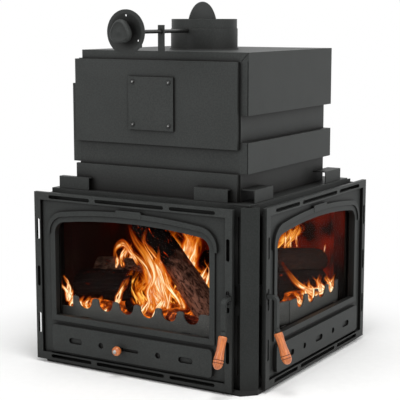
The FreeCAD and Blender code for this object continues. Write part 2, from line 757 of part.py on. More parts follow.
fence_x = frame_left + s.fence_start
fence_bend = fence_x + s.fence_front - s.fence_sheet
fence_front = prism(
    "fence_front", [scallops(s.fence_front, ZERO - s.fence_shift)], s.fence_sheet, FRONTWARD,
    (fence_x, depth(s.fence_depth + s.fence_sheet), ZERO),
)
fence_edge = corner - s.fence_depth
fence_side = prism(
    "fence_side", [scallops(s.fence_side, s.fence_shift)], s.fence_sheet, SIDEWARD,
    (fence_edge - s.fence_sheet, depth(s.fence_turn - s.fence_sheet), ZERO),
)
lean_x = fence_edge - s.fence_sheet - fence_bend
lean_y = s.fence_turn - s.fence_depth - s.fence_sheet
lean = root(lean_x * lean_x + lean_y * lean_y)
lean_turn = Rotation(Vector(lean_x.value, lean_y.value, 0), Vector(0, 0, 1), Vector(0, 0, 0), "XYZ")
fence_corner = prism(
    "fence_corner", [scallops(lean)], s.fence_sheet, lean_turn,
    (fence_bend, depth(s.fence_depth + s.fence_sheet), ZERO),
)
fence_y = (depth(s.fence_depth), depth(s.fence_depth + s.fence_sheet))
fence_low = block("fence_low", (fence_x - s.fence_low, fence_x), fence_y, (s.hearth_level, s.fence_valley))
node("log_fence", join("fence", fence_front, fence_corner, fence_side, fence_low))

# Corner post: a 45 degree face with slotted wings behind both frames

wing_front = s.seat_depth - s.post_sheet
diagonal = s.post_sheet * math.sqrt(2)
post_inside = s.post_side - s.post_sheet
skew = s.post_face + s.post_side + diagonal - post_inside
post_half = [
    (s.post_wing, wing_front), (s.post_side, wing_front), (s.post_side, s.post_face),
    (s.post_face, s.post_side), (wing_front, s.post_side), (wing_front, s.post_wing),
    (s.seat_depth, s.post_wing), (s.seat_depth, post_inside), (skew, post_inside),
    (post_inside, skew), (post_inside, s.seat_depth), (s.post_wing, s.seat_depth),
]
post_outline = [(corner - across, depth(behind)) for across, behind in post_half]
post_body = prism("post", [post_outline], s.post_top - s.base_rim, UPRIGHT, (ZERO, ZERO, s.base_rim))
vent_x = corner - s.post_side - s.post_sheet
vents = []
VENTS = [("low", s.vent_low, s.vent_low_length), ("high", s.vent_high, s.vent_high_length)]
for label, foot, length in VENTS:
    span = (vent_x - s.vent_width, vent_x)
    vent = block("vent_" + label, span, (depth(wing_front), depth(s.seat_depth)), (foot, foot + length))
    vents += [vent, mirrored("vent_twin_" + label, vent)]
node("corner_post", cut("post_vented", post_body, *vents))

# Brackets that carry the frames' far edges

bracket_x = frame_left + s.slot_inset + s.frame_sheet
bracket_depth = seat_back + s.margin_side
bracket_foot = s.frame_lift + (s.frame_height - s.bracket_height) / 2


def frame_bracket(name, wall):
    """A bent strip from the frame's sheet back to a firebox wall, with a tab behind the middle slot."""
    outline = [
        (bracket_x, depth(s.frame_sheet)), (bracket_x + s.frame_sheet, depth(s.frame_sheet)),
        (bracket_x + s.frame_sheet, depth(bracket_depth)), (wall, depth(bracket_depth)),
        (wall, depth(bracket_depth + s.frame_sheet)), (bracket_x, depth(bracket_depth + s.frame_sheet)),
    ]
    strip = prism(name + "_strip", [outline], s.bracket_height, UPRIGHT, (ZERO, ZERO, bracket_foot))
    tab_x = (bracket_x - s.bracket_tab_width, bracket_x)
    tab_y = (depth(s.frame_sheet * 3), depth(s.frame_sheet * 4))
    tab_z = centred(s.frame_lift + s.frame_height / 2, s.bracket_tab)
    return join(name, strip, block(name + "_tab", tab_x, tab_y, tab_z))


far_brackets = mirrored("far_bracket_twin", frame_bracket("far_bracket", -back_outside))
node("frame_brackets", group("brackets", frame_bracket("near_bracket", wall_left), far_brackets))

# Boiler body with its smoke hole, cleaning hole and water holes

roof_top = s.boiler_top + s.jacket
jacket_face = boiler_near - s.front_jacket_proud
cover_x = frame_left + s.cover_centre
cover_z = (s.front_jacket_foot + s.front_jacket_head) / 2 - s.cover_drop
boiler_x = (boiler_left, boiler_right)
boiler_y = (boiler_near, boiler_far)
inner_x = (boiler_left + s.shell_sheet, boiler_right - s.shell_sheet)
inner_y = (boiler_near + s.shell_sheet, boiler_far - s.shell_sheet)
TUBES = 6
tube_rows = [boiler_centre + s.tube_pitch * (index - (TUBES - 1) / 2) for index in range(TUBES)]


def square(name, side, y):
    """A square block round the cleaning hole's axis."""
    return block(name, centred(cover_x, side), y, centred(cover_z, side))


def flue_bore(name, radius, z):
    return rod(name, radius, (s.flue_x, s.flue_y, z[0]), z[1] - z[0], "z")


water_holes = [
    rod(f"water_hole_{index}", s.tube_inner, (boiler_left, y, s.tube_height), s.boiler_width, "x")
    for index, y in enumerate(tube_rows)
]
boiler = cut(
    "boiler",
    block("boiler_block", boiler_x, boiler_y, (boiler_foot, s.boiler_top)),
    block("boiler_room", inner_x, inner_y, (boiler_foot, s.boiler_top - s.shell_sheet)),
    flue_bore("smoke_hole", s.flue_radius - s.flue_wall, (s.boiler_top - s.shell_sheet, s.boiler_top)),
    square("cleaning_hole", s.hatch, (boiler_near, inner_y[0])),
    *water_holes,
)
node("boiler_body", boiler)

tubes = []
for index, y in enumerate(tube_rows):
    start = (inner_x[0], y, s.tube_height)
    solid = rod(f"tube_{index}", s.tube_outer, start, inner_x[1] - inner_x[0], "x")
    bore = rod(f"tube_bore_{index}", s.tube_inner, start, inner_x[1] - inner_x[0], "x")
    tubes.append(cut(f"tube_wall_{index}", solid, bore))
node("water_tubes", group("tubes", *tubes))

baffle_y = (inner_y[0] + s.baffle_gap, inner_y[1])
baffle_z = (s.baffle_height, s.baffle_height + s.shell_sheet)
node("smoke_baffle", block("baffle", inner_x, baffle_y, baffle_z))

# Water jackets: trays welded to the body with their open sides inwards


def shrunk(span, low=True, high=True):
    """A span drawn in by the jackets' sheet at one or both ends."""
    first = span[0] + s.jacket_sheet if low else span[0]
    last = span[1] - s.jacket_sheet if high else span[1]
    return (first, last)


front_x = (boiler_left - s.front_jacket_left, boiler_right - s.front_jacket_right)
front_y = (jacket_face, boiler_near)
front_z = (s.front_jacket_foot, s.front_jacket_head)
front_room = cut(
    "front_room",
    block("front_hollow", shrunk(front_x), shrunk(front_y, high=False), shrunk(front_z)),
    square("hatch_frame", s.cover_size, front_y),
)
screw_reach = s.cover_screw_pitch / 2
screw_points = [
    (cover_x + screw_reach * right, cover_z + screw_reach * up) for right in (-1, 1) for up in (-1, 1)
]
cover_back = jacket_face - s.cover_seal
cover_face = cover_back - s.cover_sheet


def screw_rods(name, radius, start, end):
    return [
        rod(f"{name}_{index}", radius, (x, start, z), end - start, "y")
        for index, (x, z) in enumerate(screw_points)
    ]


screw_end = boiler_near - s.jacket_sheet
screw_room = s.cover_screw + s.fixed_gap
front_jacket = cut(
    "front_jacket_tray",
    block("front_jacket_block", front_x, front_y, front_z),
    front_room,
    square("hatch_way", s.hatch, front_y),
    *screw_rods("jacket_screw_hole", screw_room, jacket_face, screw_end),
)
node("front_jacket", front_jacket)

gasket = cut(
    "gasket",
    square("gasket_sheet", s.cover_size - s.jacket_sheet * 2, (cover_back, jacket_face)),
    square("gasket_way", s.hatch, (cover_back, jacket_face)),
    *screw_rods("gasket_screw_hole", screw_room, cover_back, jacket_face),
)
node("cover_gasket", gasket)
cover = cut(
    "cover",
    square("cover_sheet_block", s.cover_size, (cover_face, cover_back)),
    *screw_rods("cover_screw_hole", screw_room, cover_face, cover_back),
)
node("cleaning_cover", cover)
heads = screw_rods("screw_head", s.cover_screw_head, cover_face - s.cover_screw, cover_face)
shanks = screw_rods("screw_shank", s.cover_screw, cover_face, screw_end)
screws = [join(f"cover_screw_{index}", head, shank) for index, (head, shank) in enumerate(zip(heads, shanks))]
node("cover_screws", group("screws", *screws))

neck_z = (boiler_foot, s.neck_head)
neck = cut(
    "neck",
    block("neck_block", front_x, front_y, neck_z),
    block("neck_hollow", shrunk(front_x), shrunk(front_y, high=False), shrunk(neck_z, low=False)),
)
node("neck_plate", neck)


def tray(name, x, y, z, hollow):
    return cut(name, block(name + "_block", x, y, z), block(name + "_hollow", *hollow))


left_x = (boiler_left - s.jacket, boiler_left)
left_z = (s.left_jacket_foot, s.left_jacket_head)
left_hollow = (shrunk(left_x, high=False), shrunk(boiler_y), shrunk(left_z))
node("left_jacket", tray("left_tray", left_x, boiler_y, left_z, left_hollow))

right_x = (boiler_right, boiler_right + s.jacket)
lower_z = (s.lower_jacket_foot, s.lower_jacket_head)
lower_hollow = (shrunk(right_x, low=False), shrunk(boiler_y), shrunk(lower_z))
lower_tray = tray("lower_tray", right_x, boiler_y, lower_z, lower_hollow)


def edge_seam(name, z):
    """A groove down the front end of a right jacket, beside its outer edge."""
    return block(name, (right_x[1] - s.seam * 2, right_x[1] - s.seam), (boiler_near, boiler_near + s.seam), z)


node("lower_side_jacket", cut("lower_seamed", lower_tray, edge_seam("lower_seam", lower_z)))

upper_outline = [
    (right_x[0], s.upper_jacket_foot), (right_x[1], s.upper_jacket_foot),
    (right_x[1], roof_top), (right_x[0], s.boiler_top),
]
upper = prism("upper_block", [upper_outline], s.boiler_length, FRONTWARD, (ZERO, boiler_far, ZERO))
upper_z = (s.upper_jacket_foot, s.boiler_top)
upper_hollow = block("upper_hollow", shrunk(right_x, low=False), shrunk(boiler_y), shrunk(upper_z))
mitre_outline = [
    (right_x[0], s.boiler_top - s.seam), (right_x[1], roof_top - s.seam),
    (right_x[1], roof_top), (right_x[0], s.boiler_top),
]
mitre = prism("mitre_seam", [mitre_outline], s.seam, FRONTWARD, (ZERO, boiler_near + s.seam, ZERO))
upper_seam = edge_seam("upper_seam", (s.upper_jacket_foot, s.boiler_top))
node("upper_side_jacket", cut("upper_tray", upper, upper_hollow, upper_seam, mitre))

roof_left = boiler_left + s.roof_inset
roof_outline = [
    (roof_left, s.boiler_top), (boiler_right, s.boiler_top), (right_x[1], roof_top), (roof_left, roof_top),
]
roof = prism("roof_block", [roof_outline], s.boiler_length, FRONTWARD, (ZERO, boiler_far, ZERO))
roof_z = (s.boiler_top, roof_top)
collar_room = s.flue_radius + s.fixed_gap
roof_room = cut(
    "roof_room",
    block("roof_hollow", shrunk((roof_left, boiler_right)), shrunk(boiler_y), shrunk(roof_z, low=False)),
    flue_bore("roof_ring", collar_room + s.jacket_sheet, roof_z),
)
node("roof_jacket", cut("roof_tray", roof, roof_room, flue_bore("roof_bore", collar_room, roof_z)))

rear_x = (boiler_left + s.rear_jacket_inset, boiler_right - s.rear_jacket_inset)
rear_y = (boiler_far, boiler_far + s.jacket)
rear_z = (s.rear_jacket_foot, s.boiler_top)
SOCKETS = [
    ("flow", boiler_middle + s.socket_reach, s.flow_height, s.socket_outer, s.socket_inner),
    ("return", boiler_middle - s.socket_reach, s.return_height, s.socket_outer, s.socket_inner),
    ("sensor", boiler_middle, s.flow_height, s.sensor_outer, s.sensor_inner),
]
ports = [
    rod(f"{label}_port", bore * 0.8, (x, rear_y[0], z), s.jacket, "y") for label, x, z, _, bore in SOCKETS
]
rear_hollow = (shrunk(rear_x), shrunk(rear_y, low=False), shrunk(rear_z))
node("rear_jacket", cut("rear_tray", tray("rear_sheet", rear_x, rear_y, rear_z, rear_hollow), *ports))
sockets = []
for label, x, z, outer, bore in SOCKETS:
    start = (x, rear_y[1], z)
    solid = rod(f"{label}_solid", outer, start, s.socket_length, "y")
    hollow = rod(f"{label}_bore", bore, start, s.socket_length, "y")
    sockets.append(cut(f"{label}_socket_wall", solid, hollow))
node("water_sockets", group("water_socket_pair", *sockets[:2]))
node("sensor_socket", sockets[2])

# Angles on the top plate round the boiler's neck

angle_z = (boiler_foot, boiler_foot + s.neck_angle_height)
lip_under = angle_z[1] - s.neck_angle_sheet
angle_face = s.seat_depth + s.neck_angle_sheet


def neck_angle(name, from_corner, reach):
    """A standing strip with a level lip back to the boiler."""
    outline = [
        (depth(angle_face), angle_z[0]), (depth(angle_face + s.neck_angle_sheet), angle_z[0]),
        (depth(angle_face + s.neck_angle_sheet), lip_under), (depth(reach), lip_under),
        (depth(reach), angle_z[1]), (depth(angle_face), angle_z[1]),
    ]
    start = corner - from_corner - s.neck_angle_width
    return prism(name, [outline], s.neck_angle_width, SIDEWARD, (start, ZERO, ZERO))


neck_face = s.boiler_front - s.front_jacket_proud
front_angles = [
    neck_angle("front_angle_near", s.front_angle_near, neck_face),
    neck_angle("front_angle_far", s.front_angle_far, neck_face),
]
side_angles = [
    mirrored("side_angle_near_twin", neck_angle("side_angle_near_drawn", s.side_angle_near, s.boiler_side)),
    mirrored("side_angle_far_twin", neck_angle("side_angle_far_drawn", s.side_angle_far, s.boiler_side)),
]
node("neck_angles", group("angles", *front_angles, *side_angles))

# Flue collar and damper

collar_height = s.flue_top - s.boiler_top
collar_inside = s.flue_radius - s.flue_wall
collar_neck = s.flue_radius - s.flue_neck
collar_step = collar_height - s.flue_neck_length
collar_outline = [
    (collar_inside, ZERO), (s.flue_radius, ZERO), (s.flue_radius, collar_step),
    (collar_neck, collar_step), (collar_neck, collar_height), (collar_inside, collar_height),
]
collar = turned("collar", collar_outline, FRONTWARD, (s.flue_x, s.flue_y, s.boiler_top))
shaft_bore = s.shaft_radius + s.running_gap
shaft_back = s.flue_y + s.flue_radius + s.flue_wall * 2
rosette_back = depth(-s.rosette_reach)
rosette_face = rosette_back - s.rosette_dish - s.rosette_sheet
knob_back = rosette_face - s.knob_play


def shaft_rod(name, radius, start, end):
    return rod(name, radius, (s.flue_x, start, s.damper_height), end - start, "y")


collar_bore = shaft_rod("collar_bore", shaft_bore, jacket_face, shaft_back)
node("flue_collar", cut("collar_bored", collar, collar_bore))
node("damper_shaft", shaft_rod("shaft", s.shaft_radius, knob_back, shaft_back))
disc_x = s.flue_x - s.shaft_radius - s.damper_sheet + s.disc_seat
disc = rod("disc", s.damper_radius, (disc_x, s.flue_y, s.damper_height), s.damper_sheet, "x")
disc_seat = shaft_rod("disc_seat", shaft_bore, s.flue_y - s.flue_radius, s.flue_y + s.flue_radius)
node("damper_disc", cut("disc_seated", disc, disc_seat))

standard_y = (boiler_near, boiler_near + s.post_bar_sheet)
standard = cut(
    "standard",
    block("standard_bar", centred(s.flue_x, s.post_bar), standard_y, (roof_top, s.post_bar_top)),
    shaft_rod("standard_bore", shaft_bore, *standard_y),
)
node("damper_standard", standard)

FACING = Rotation(Vector(1, 0, 0), 180)
dish = s.rosette_radius - s.rosette_rim
rosette_front = s.rosette_dish + s.rosette_sheet
rosette_outline = [
    (shaft_bore, ZERO), (s.rosette_hub, ZERO), (dish, s.rosette_dish), (s.rosette_radius, s.rosette_dish),
    (s.rosette_radius, rosette_front), (dish, rosette_front), (s.rosette_hub, s.rosette_sheet),
    (shaft_bore, s.rosette_sheet),
]
rosette = turned("rosette", rosette_outline, FACING, (s.flue_x, rosette_back, s.damper_height))
ROSETTE_SCREWS = 3
screw_holes = []
for index in range(ROSETTE_SCREWS):
    angle = 2 * math.pi * index / ROSETTE_SCREWS
    x, z = s.flue_x + s.rosette_pitch * math.sin(angle), s.damper_height + s.rosette_pitch * math.cos(angle)
    start = (x, rosette_face, z)
    screw_holes.append(rod(f"rosette_hole_{index}", s.rosette_hole, start, rosette_front, "y"))
node("damper_rosette", cut("rosette_bored", rosette, *screw_holes))

FLUTES = 12
knob_edge = s.knob_radius - s.knob_flute / 2
knob_outline = [
    (ZERO, ZERO), (knob_edge, ZERO), (s.knob_radius, s.knob_length / 4), (s.knob_radius, s.knob_length * 0.7),
    (knob_edge - s.knob_flute, s.knob_length), (ZERO, s.knob_length),
]
knob = turned("knob", knob_outline, FACING, (s.flue_x, knob_back, s.damper_height))
flutes = []
for index in range(FLUTES):
    angle = 2 * math.pi * (index + 0.5) / FLUTES
    ring = s.knob_radius + s.knob_flute / 2
    x, z = s.flue_x + ring * math.sin(angle), s.damper_height + ring * math.cos(angle)
    flutes.append(rod(f"flute_{index}", s.knob_flute, (x, knob_back - s.knob_length, z), s.knob_length, "y"))
pointer_z = (s.damper_height + s.knob_flute, s.damper_height + knob_edge - s.knob_flute)
pointer_y = (knob_back - s.knob_length - s.pointer / 2, knob_back - s.knob_length)
pointer = block("pointer", centred(s.flue_x, s.pointer), pointer_y, pointer_z)
node("damper_knob", join("knob_marked", cut("knob_fluted", knob, *flutes), pointer))

arm_y = (rosette_back + s.stop_gap, rosette_back + s.stop_gap + s.stop_thick)
arm_foot = s.damper_height - s.stop_drop
arm_foot_x = (s.flue_x - s.stop_thick / 2, s.flue_x + s.stop_reach)
arm = join(
    "arm",
    shaft_rod("arm_hub", s.shaft_radius * 2.5, *arm_y),
    block("arm_bar", centred(s.flue_x, s.stop_thick), arm_y, (arm_foot, s.damper_height)),
    block("arm_foot", arm_foot_x, arm_y, (arm_foot - s.stop_thick, arm_foot)),
)
node("damper_stop_arm", cut("arm_bored", arm, shaft_rod("arm_bore", shaft_bore, *arm_y)))

# Doors, drawn at the front; heights in these sketches run outwards from the frame's face

door_face = -s.door_recess
door_back = door_face - s.door_thick
hinge_x = door_left + s.hinge_inset
hinge_y = depth(s.door_recess + s.knuckle)
door_middle = (door_left + door_right) / 2
window_x = door_middle - s.window_shift
sill = s.frame_lift + s.window_sill
crown = s.frame_lift + s.window_crown
arc_z = crown - s.window_arc
panel_x = (door_middle - s.panel_half, door_middle + s.panel_half)
panel_z = (s.frame_lift + s.panel_foot, s.frame_lift + s.panel_head)
panel_face = door_face + s.panel_proud
panel_inside = panel_face - s.panel_wall
cavity_x = (panel_x[0] + s.panel_end, panel_x[1] - s.panel_end)
cavity_z = (panel_z[0] + s.panel_border, panel_z[1] - s.panel_border)
air_z = s.frame_lift + s.air_height
plate_top = panel_inside - s.slider_play
plate_low = plate_top - s.slider_sheet
lip_top = plate_low - s.slider_play
lip_low = lip_top - s.slider_sheet
lens_back = door_face - s.door_lip
glass_face = lens_back - s.glass_seal
glass_back = glass_face - s.glass_thick


def arch_points(grow):
    """Right-hand corners of the window's arched head, grown evenly outwards."""
    half = s.window_half + grow
    radius = s.window_arc + grow
    bend = s.window_round + grow
    rise = root((radius - bend) * (radius - bend) - (half - bend) * (half - bend))
    share = radius / (radius - bend)
    return half, bend, arc_z + rise, (half - bend) * share, arc_z + rise * share


def arch_over(grow, lift=ZERO):
    """The head of an arch from its right springing to its left one, lifted as a whole."""
    half, bend, spring, shoulder, shoulder_z = arch_points(grow)
    spring, shoulder_z = spring + lift, shoulder_z + lift
    return [
        (window_x + half, spring, Arc(window_x + half - bend, spring)),
        (window_x + shoulder, shoulder_z, Arc(window_x, arc_z + lift)),
        (window_x - shoulder, shoulder_z, Arc(window_x - half + bend, spring)),
        (window_x - half, spring),
    ]


def arch_back(grow):
    """The same head drawn the other way round."""
    half, bend, spring, shoulder, shoulder_z = arch_points(grow)
    return [
        (window_x - half, spring, Arc(window_x - half + bend, spring, clockwise=True)),
        (window_x - shoulder, shoulder_z, Arc(window_x, arc_z, clockwise=True)),
        (window_x + shoulder, shoulder_z, Arc(window_x + half - bend, spring, clockwise=True)),
        (window_x + half, spring),
    ]


def arch(grow):
    half = s.window_half + grow
    foot = sill - grow
    return [(window_x - half, foot), (window_x + half, foot)] + arch_over(grow)


def brow():
    """An open band over the window's rim, narrower towards its square ends."""
    inner = s.window_half + s.rim_width
    outer = inner + s.brow_side
    end = s.frame_lift + s.brow_end
    right = [(window_x + inner, end), (window_x + outer, end)]
    left = [(window_x - outer, end), (window_x - inner, end)]
    over = arch_over(s.rim_width + s.brow_side, s.brow_width - s.brow_side)
    return right + over + left + arch_back(s.rim_width)


def air_holes(middle):
    holes = [middle]
    for side in (-1, 1):
        holes.append(round_hole(door_middle + s.air_near * side, air_z, s.air_bore))
        holes.append(level_slot(door_middle + s.air_far * side, air_z, s.air_oblong, s.air_bore * 2))
    return holes


def rope_run(inset):
    across = (door_left + s.rope_side + inset, door_right - s.rope_side - inset)
    return rectangle(across, (door_foot + s.rope_end + inset, door_head - s.rope_end - inset))


def hinge_rods(name, radius, reach_out, reach_in):
    """A rod on the hinge's axis at the foot and one at the head of the door."""
    return [
        rod(name + "_foot", radius, (hinge_x, hinge_y, door_foot - reach_out), reach_out + reach_in, "z"),
        rod(name + "_head", radius, (hinge_x, hinge_y, door_head - reach_in), reach_out + reach_in, "z"),
    ]


def casting(name, middle_hole):
    """A cast door with its window, mouldings and hollow air panel."""
    body = new_body(name, FRONTWARD, (ZERO, depth(ZERO), ZERO))
    slab = rectangle((door_left, door_right), (door_foot, door_head))
    raise_layer(body, name + "_slab", [slab], door_back, door_face)
    raise_layer(body, name + "_rim", [arch(s.rim_width)], door_face, door_face + s.rim_proud)
    raise_layer(body, name + "_brow", [brow()], door_face, door_face + s.brow_proud)
    tablet_z = (crown + s.rim_width, crown + s.rim_width + s.tablet_height)
    tablet = rounded_rectangle(centred(window_x, s.tablet_width), tablet_z, s.tablet_height / 4)
    raise_layer(body, name + "_tablet", [tablet], door_face, door_face + s.tablet_proud)
    panel = rounded_rectangle(panel_x, panel_z, s.panel_round)
    raise_layer(body, name + "_panel", [panel], door_face, panel_face)
    sink_layer(body, name + "_window", [arch(ZERO)], door_back, door_face + s.rim_proud)
    sink_layer(body, name + "_recess", [arch(s.glass_edge + s.glass_room)], door_back, lens_back)
    sink_layer(body, name + "_cavity", [rectangle(cavity_x, cavity_z)], door_back, panel_inside)
    sink_layer(body, name + "_holes", air_holes(middle_hole), panel_inside, panel_face)
    low_lip = rectangle(cavity_x, (cavity_z[0], cavity_z[0] + s.slider_lip))
    high_lip = rectangle(cavity_x, (cavity_z[1] - s.slider_lip, cavity_z[1]))
    raise_layer(body, name + "_lips", [low_lip, high_lip], lip_low, lip_top)
    groove = [rope_run(ZERO), rope_run(s.rope_width)]
    sink_layer(body, name + "_groove", groove, door_back, door_back + s.rope_groove)
    holes = hinge_rods(name + "_pin_hole", s.pin_radius + s.pin_room, ZERO, s.pin_length - s.pin_reach)
    bevel_depth = s.door_recess + s.door_thick
    bevel = [
        (door_left, depth(bevel_depth - s.hinge_bevel)), (door_left + s.hinge_bevel, depth(bevel_depth)),
        (door_left, depth(bevel_depth)),
    ]
    corner_cut = prism(name + "_bevel", [bevel], door_head - door_foot, UPRIGHT, (ZERO, ZERO, door_foot))
    return cut(name + "_bored", body, corner_cut, *holes)


slider_slot_length = s.slider_travel + s.slider_slot
front_casting = casting("front_casting", level_slot(door_middle, air_z, slider_slot_length, s.slider_slot))
side_casting = casting("side_casting", level_slot(door_middle, air_z, s.air_oblong, s.air_bore * 2))
node_pair("door", front_casting, side_casting)

outward = (ZERO, depth(ZERO), ZERO)


def door_layer(name, outlines, low, high):
    body = new_body(name, FRONTWARD, outward)
    raise_layer(body, name + "_pad", outlines, low, high)
    return body


node_pair("glass", door_layer("lens", [arch(s.glass_edge)], glass_back, glass_face))
seal_outlines = [arch(s.glass_edge), arch(s.glass_room / 2)]
node_pair("glass_seal", door_layer("lens_seal", seal_outlines, glass_face, lens_back))
rope_outlines = [rope_run(ZERO), rope_run(s.rope_width)]
rope_end = s.rope_squeeze - s.seat_depth
node_pair("rope_seal", door_layer("rope", rope_outlines, rope_end, door_back + s.rope_groove))
pins = hinge_rods("pin", s.pin_radius, s.pin_reach, s.pin_length - s.pin_reach)
node_pair("hinge_pins", group("pins", *pins))


def glass_clip(name, x, nose, plate):
    """A flat strip on the door's back with a nose that holds the glass."""
    across = centred(x, s.clip_width)
    back = depth(-door_back)
    return join(
        name,
        block(name + "_nose", across, (depth(-glass_back), back), nose),
        block(name + "_strip", across, (back, back + s.clip_sheet), plate),
    )


glass_foot = sill - s.glass_edge
head_arc = s.window_arc + s.glass_edge
clip_far = s.clip_reach + s.clip_width / 2
glass_head = arc_z + root(head_arc * head_arc - clip_far * clip_far)
clips = []
for side in (-1, 1):
    x = window_x + s.clip_reach * side
    low_nose = (glass_foot, glass_foot + s.clip_nose)
    high_nose = (glass_head - s.clip_nose, glass_head)
    low_strip = (low_nose[1] - s.clip_length, low_nose[1])
    high_strip = (high_nose[0], high_nose[0] + s.clip_length)
    clips.append(glass_clip(f"low_clip_{side + 1}", x, low_nose, low_strip))
    clips.append(glass_clip(f"high_clip_{side + 1}", x, high_nose, high_strip))
node_pair("glass_clips", group("clips", *clips))

lug_x = (hinge_x - s.knuckle, hinge_x + s.knuckle)
lug_y = (depth(s.frame_sheet), depth(s.door_recess + s.door_thick))
lug_bores = hinge_rods("lug_bore", s.pin_radius + s.running_gap, s.pin_reach, ZERO)
low_lug = block("low_lug", lug_x, lug_y, (door_foot - s.pin_reach, door_foot - s.door_play))
high_lug = block("high_lug", lug_x, lug_y, (door_head + s.door_play, door_head + s.pin_reach))
bored_lugs = [cut("low_lug_bored", low_lug, lug_bores[0]), cut("high_lug_bored", high_lug, lug_bores[1])]
lugs = group("lugs", *bored_lugs)
node("hinge_lugs", group("all_lugs", lugs, mirrored("lugs_twin", lugs)))

# Air plates behind the panels' holes

air_plate_x = (door_middle - s.air_far - s.air_oblong * 0.6, cavity_x[1] - s.slider_travel - s.slider_play)
air_plate_z = (cavity_z[0] + s.slider_play, cavity_z[1] - s.slider_play)
stem_x = door_middle - s.slider_travel / 2
stem_end = depth(-panel_face - s.slider_stand)
air_plate_outlines = [
    rectangle(air_plate_x, air_plate_z),
    round_hole(door_middle - s.air_near - s.slider_travel, air_z, s.air_bore),
    round_hole(door_middle + s.air_near - s.slider_travel, air_z, s.air_bore),
    level_slot(door_middle + s.air_far - s.slider_travel, air_z, s.air_oblong, s.air_bore * 2),
]
air_sheet = door_layer("air_sheet", air_plate_outlines, plate_low, plate_top)
stem = rod("stem", s.slider_stem, (stem_x, stem_end, air_z), depth(-plate_low) - stem_end, "y")
node("air_plate", join("air_plate_stem", air_sheet, stem))
ball_seat = s.slider_knob / 2
ball_z = root(s.slider_knob * s.slider_knob - ball_seat * ball_seat)
ball_outline = [(ZERO, ZERO), (ball_seat, ZERO, Arc(ZERO, ball_z)), (ZERO, ball_z + s.slider_knob)]
node("slider_knob", turned("ball", ball_outline, FACING, (stem_x, stem_end, air_z)))
fixed_plate = door_layer("fixed_air_sheet", [rectangle(cavity_x, air_plate_z)], lip_top, panel_inside)
node("side_air_plate", mirrored("fixed_air_twin", fixed_plate))

# Latches in the frames' middle slots

latch_x = frame_right - s.slot_inset
latch_z = s.frame_lift + s.latch_height
latch_back = s.door_recess + s.door_thick
half_bar = s.lever_thick / 2
bend_y = depth(s.lever_bend - s.latch_stand)
bend_z = latch_z + half_bar - s.lever_bend
lever_face = depth(-s.latch_stand)
lever_back = lever_face + s.lever_thick
lever_foot = latch_z - s.lever_drop
lever_start = depth(-s.lever_gap)
lever_outline = [
    (lever_start, latch_z - half_bar), (lever_start, latch_z + half_bar),
    (bend_y, latch_z + half_bar, Arc(bend_y, bend_z)),
    (lever_face, bend_z), (lever_face, lever_foot), (lever_back, lever_foot),
    (lever_back, bend_z, Arc(bend_y, bend_z, clockwise=True)),
    (bend_y, latch_z - half_bar),
]
lever_middle = latch_x + s.lever_shift
lever_x = lever_middle - s.lever_width / 2
strap = prism("strap", [lever_outline], s.lever_width, SIDEWARD, (lever_x, ZERO, ZERO))
cam_y = (depth(s.frame_sheet + s.cam_play), depth(s.frame_sheet + s.cam_play + s.cam_thick))


def spindle_rod(name, radius, start, end):
    return rod(name, radius, (latch_x, start, latch_z), end - start, "y")


tilt = math.radians(s.grip_tilt.value)
hang = Vector(0, -math.sin(tilt), -math.cos(tilt))
ferrule_top = (lever_middle, lever_face + s.lever_thick / 2, lever_foot + s.lever_thick / 3)
ferrule = doc.addObject("Part::Cylinder", "ferrule")
ferrule.Placement = Placement(Vector(), Rotation(Vector(0, 0, 1), hang))
bind(ferrule, Radius=s.ferrule, Height=s.ferrule_length + s.lever_thick / 3)
place(ferrule, *ferrule_top)
ferrule_reach = s.ferrule_length + s.lever_thick / 3
lever = join(
    "lever",
    strap,
    ferrule,
    spindle_rod("latch_spindle", s.spindle, depth(-s.lever_bend), depth(latch_back)),
    spindle_rod("latch_collar", s.latch_hub, depth(-s.lever_gap - s.cam_thick), lever_start),
    spindle_rod("cam_round", s.latch_hub, *cam_y),
    block("cam_lobe", centred(latch_x, s.cam_width), cam_y, (latch_z - s.cam_reach, latch_z)),
)
node_pair("latch_lever", lever)

grip_top = [
    ferrule_top[0], ferrule_top[1] + ferrule_reach * hang.y, ferrule_top[2] + ferrule_reach * hang.z
]
length = s.grip_length
grip_outline = [
    (ZERO, ZERO), (s.grip_head * 0.86, ZERO), (s.grip_head, length * 0.03), (s.grip_head, length * 0.07),
    (s.grip_waist, length * 0.24), (s.grip_waist, length * 0.42), (s.grip_radius, length * 0.76),
    (s.grip_radius, length * 0.84), (s.grip_radius * 0.8, length * 0.94), (s.grip_radius * 0.45, length),
    (ZERO, length),
]
grip = turned("grip", grip_outline, Rotation(Vector(0, 1, 0), hang), grip_top)
node_pair("latch_grip", grip)

bearing_x = centred(latch_x, s.bearing_width)
bearing_reach = s.cam_reach + s.bearing_room
bearing_z = (latch_z - bearing_reach - s.bearing_leg, latch_z + bearing_reach + s.bearing_leg)
bearing_y = (cam_y[1] + s.bearing_room, depth(latch_back))
leg_y = (depth(s.frame_sheet), bearing_y[0])
bearing = join(
    "bearing",
    block("bearing_bar", bearing_x, bearing_y, bearing_z),
    block("bearing_low_leg", bearing_x, leg_y, (bearing_z[0], bearing_z[0] + s.bearing_leg)),
    block("bearing_high_leg", bearing_x, leg_y, (bearing_z[1] - s.bearing_leg, bearing_z[1])),
)
bearing_bore = spindle_rod("bearing_bore", s.spindle + s.running_gap, *bearing_y)
bearing_bored = cut("bearing_bored", bearing, bearing_bore)
node("latch_bearings", group("bearings", bearing_bored, mirrored("bearing_twin", bearing_bored)))

# Checks, then one file for each piece

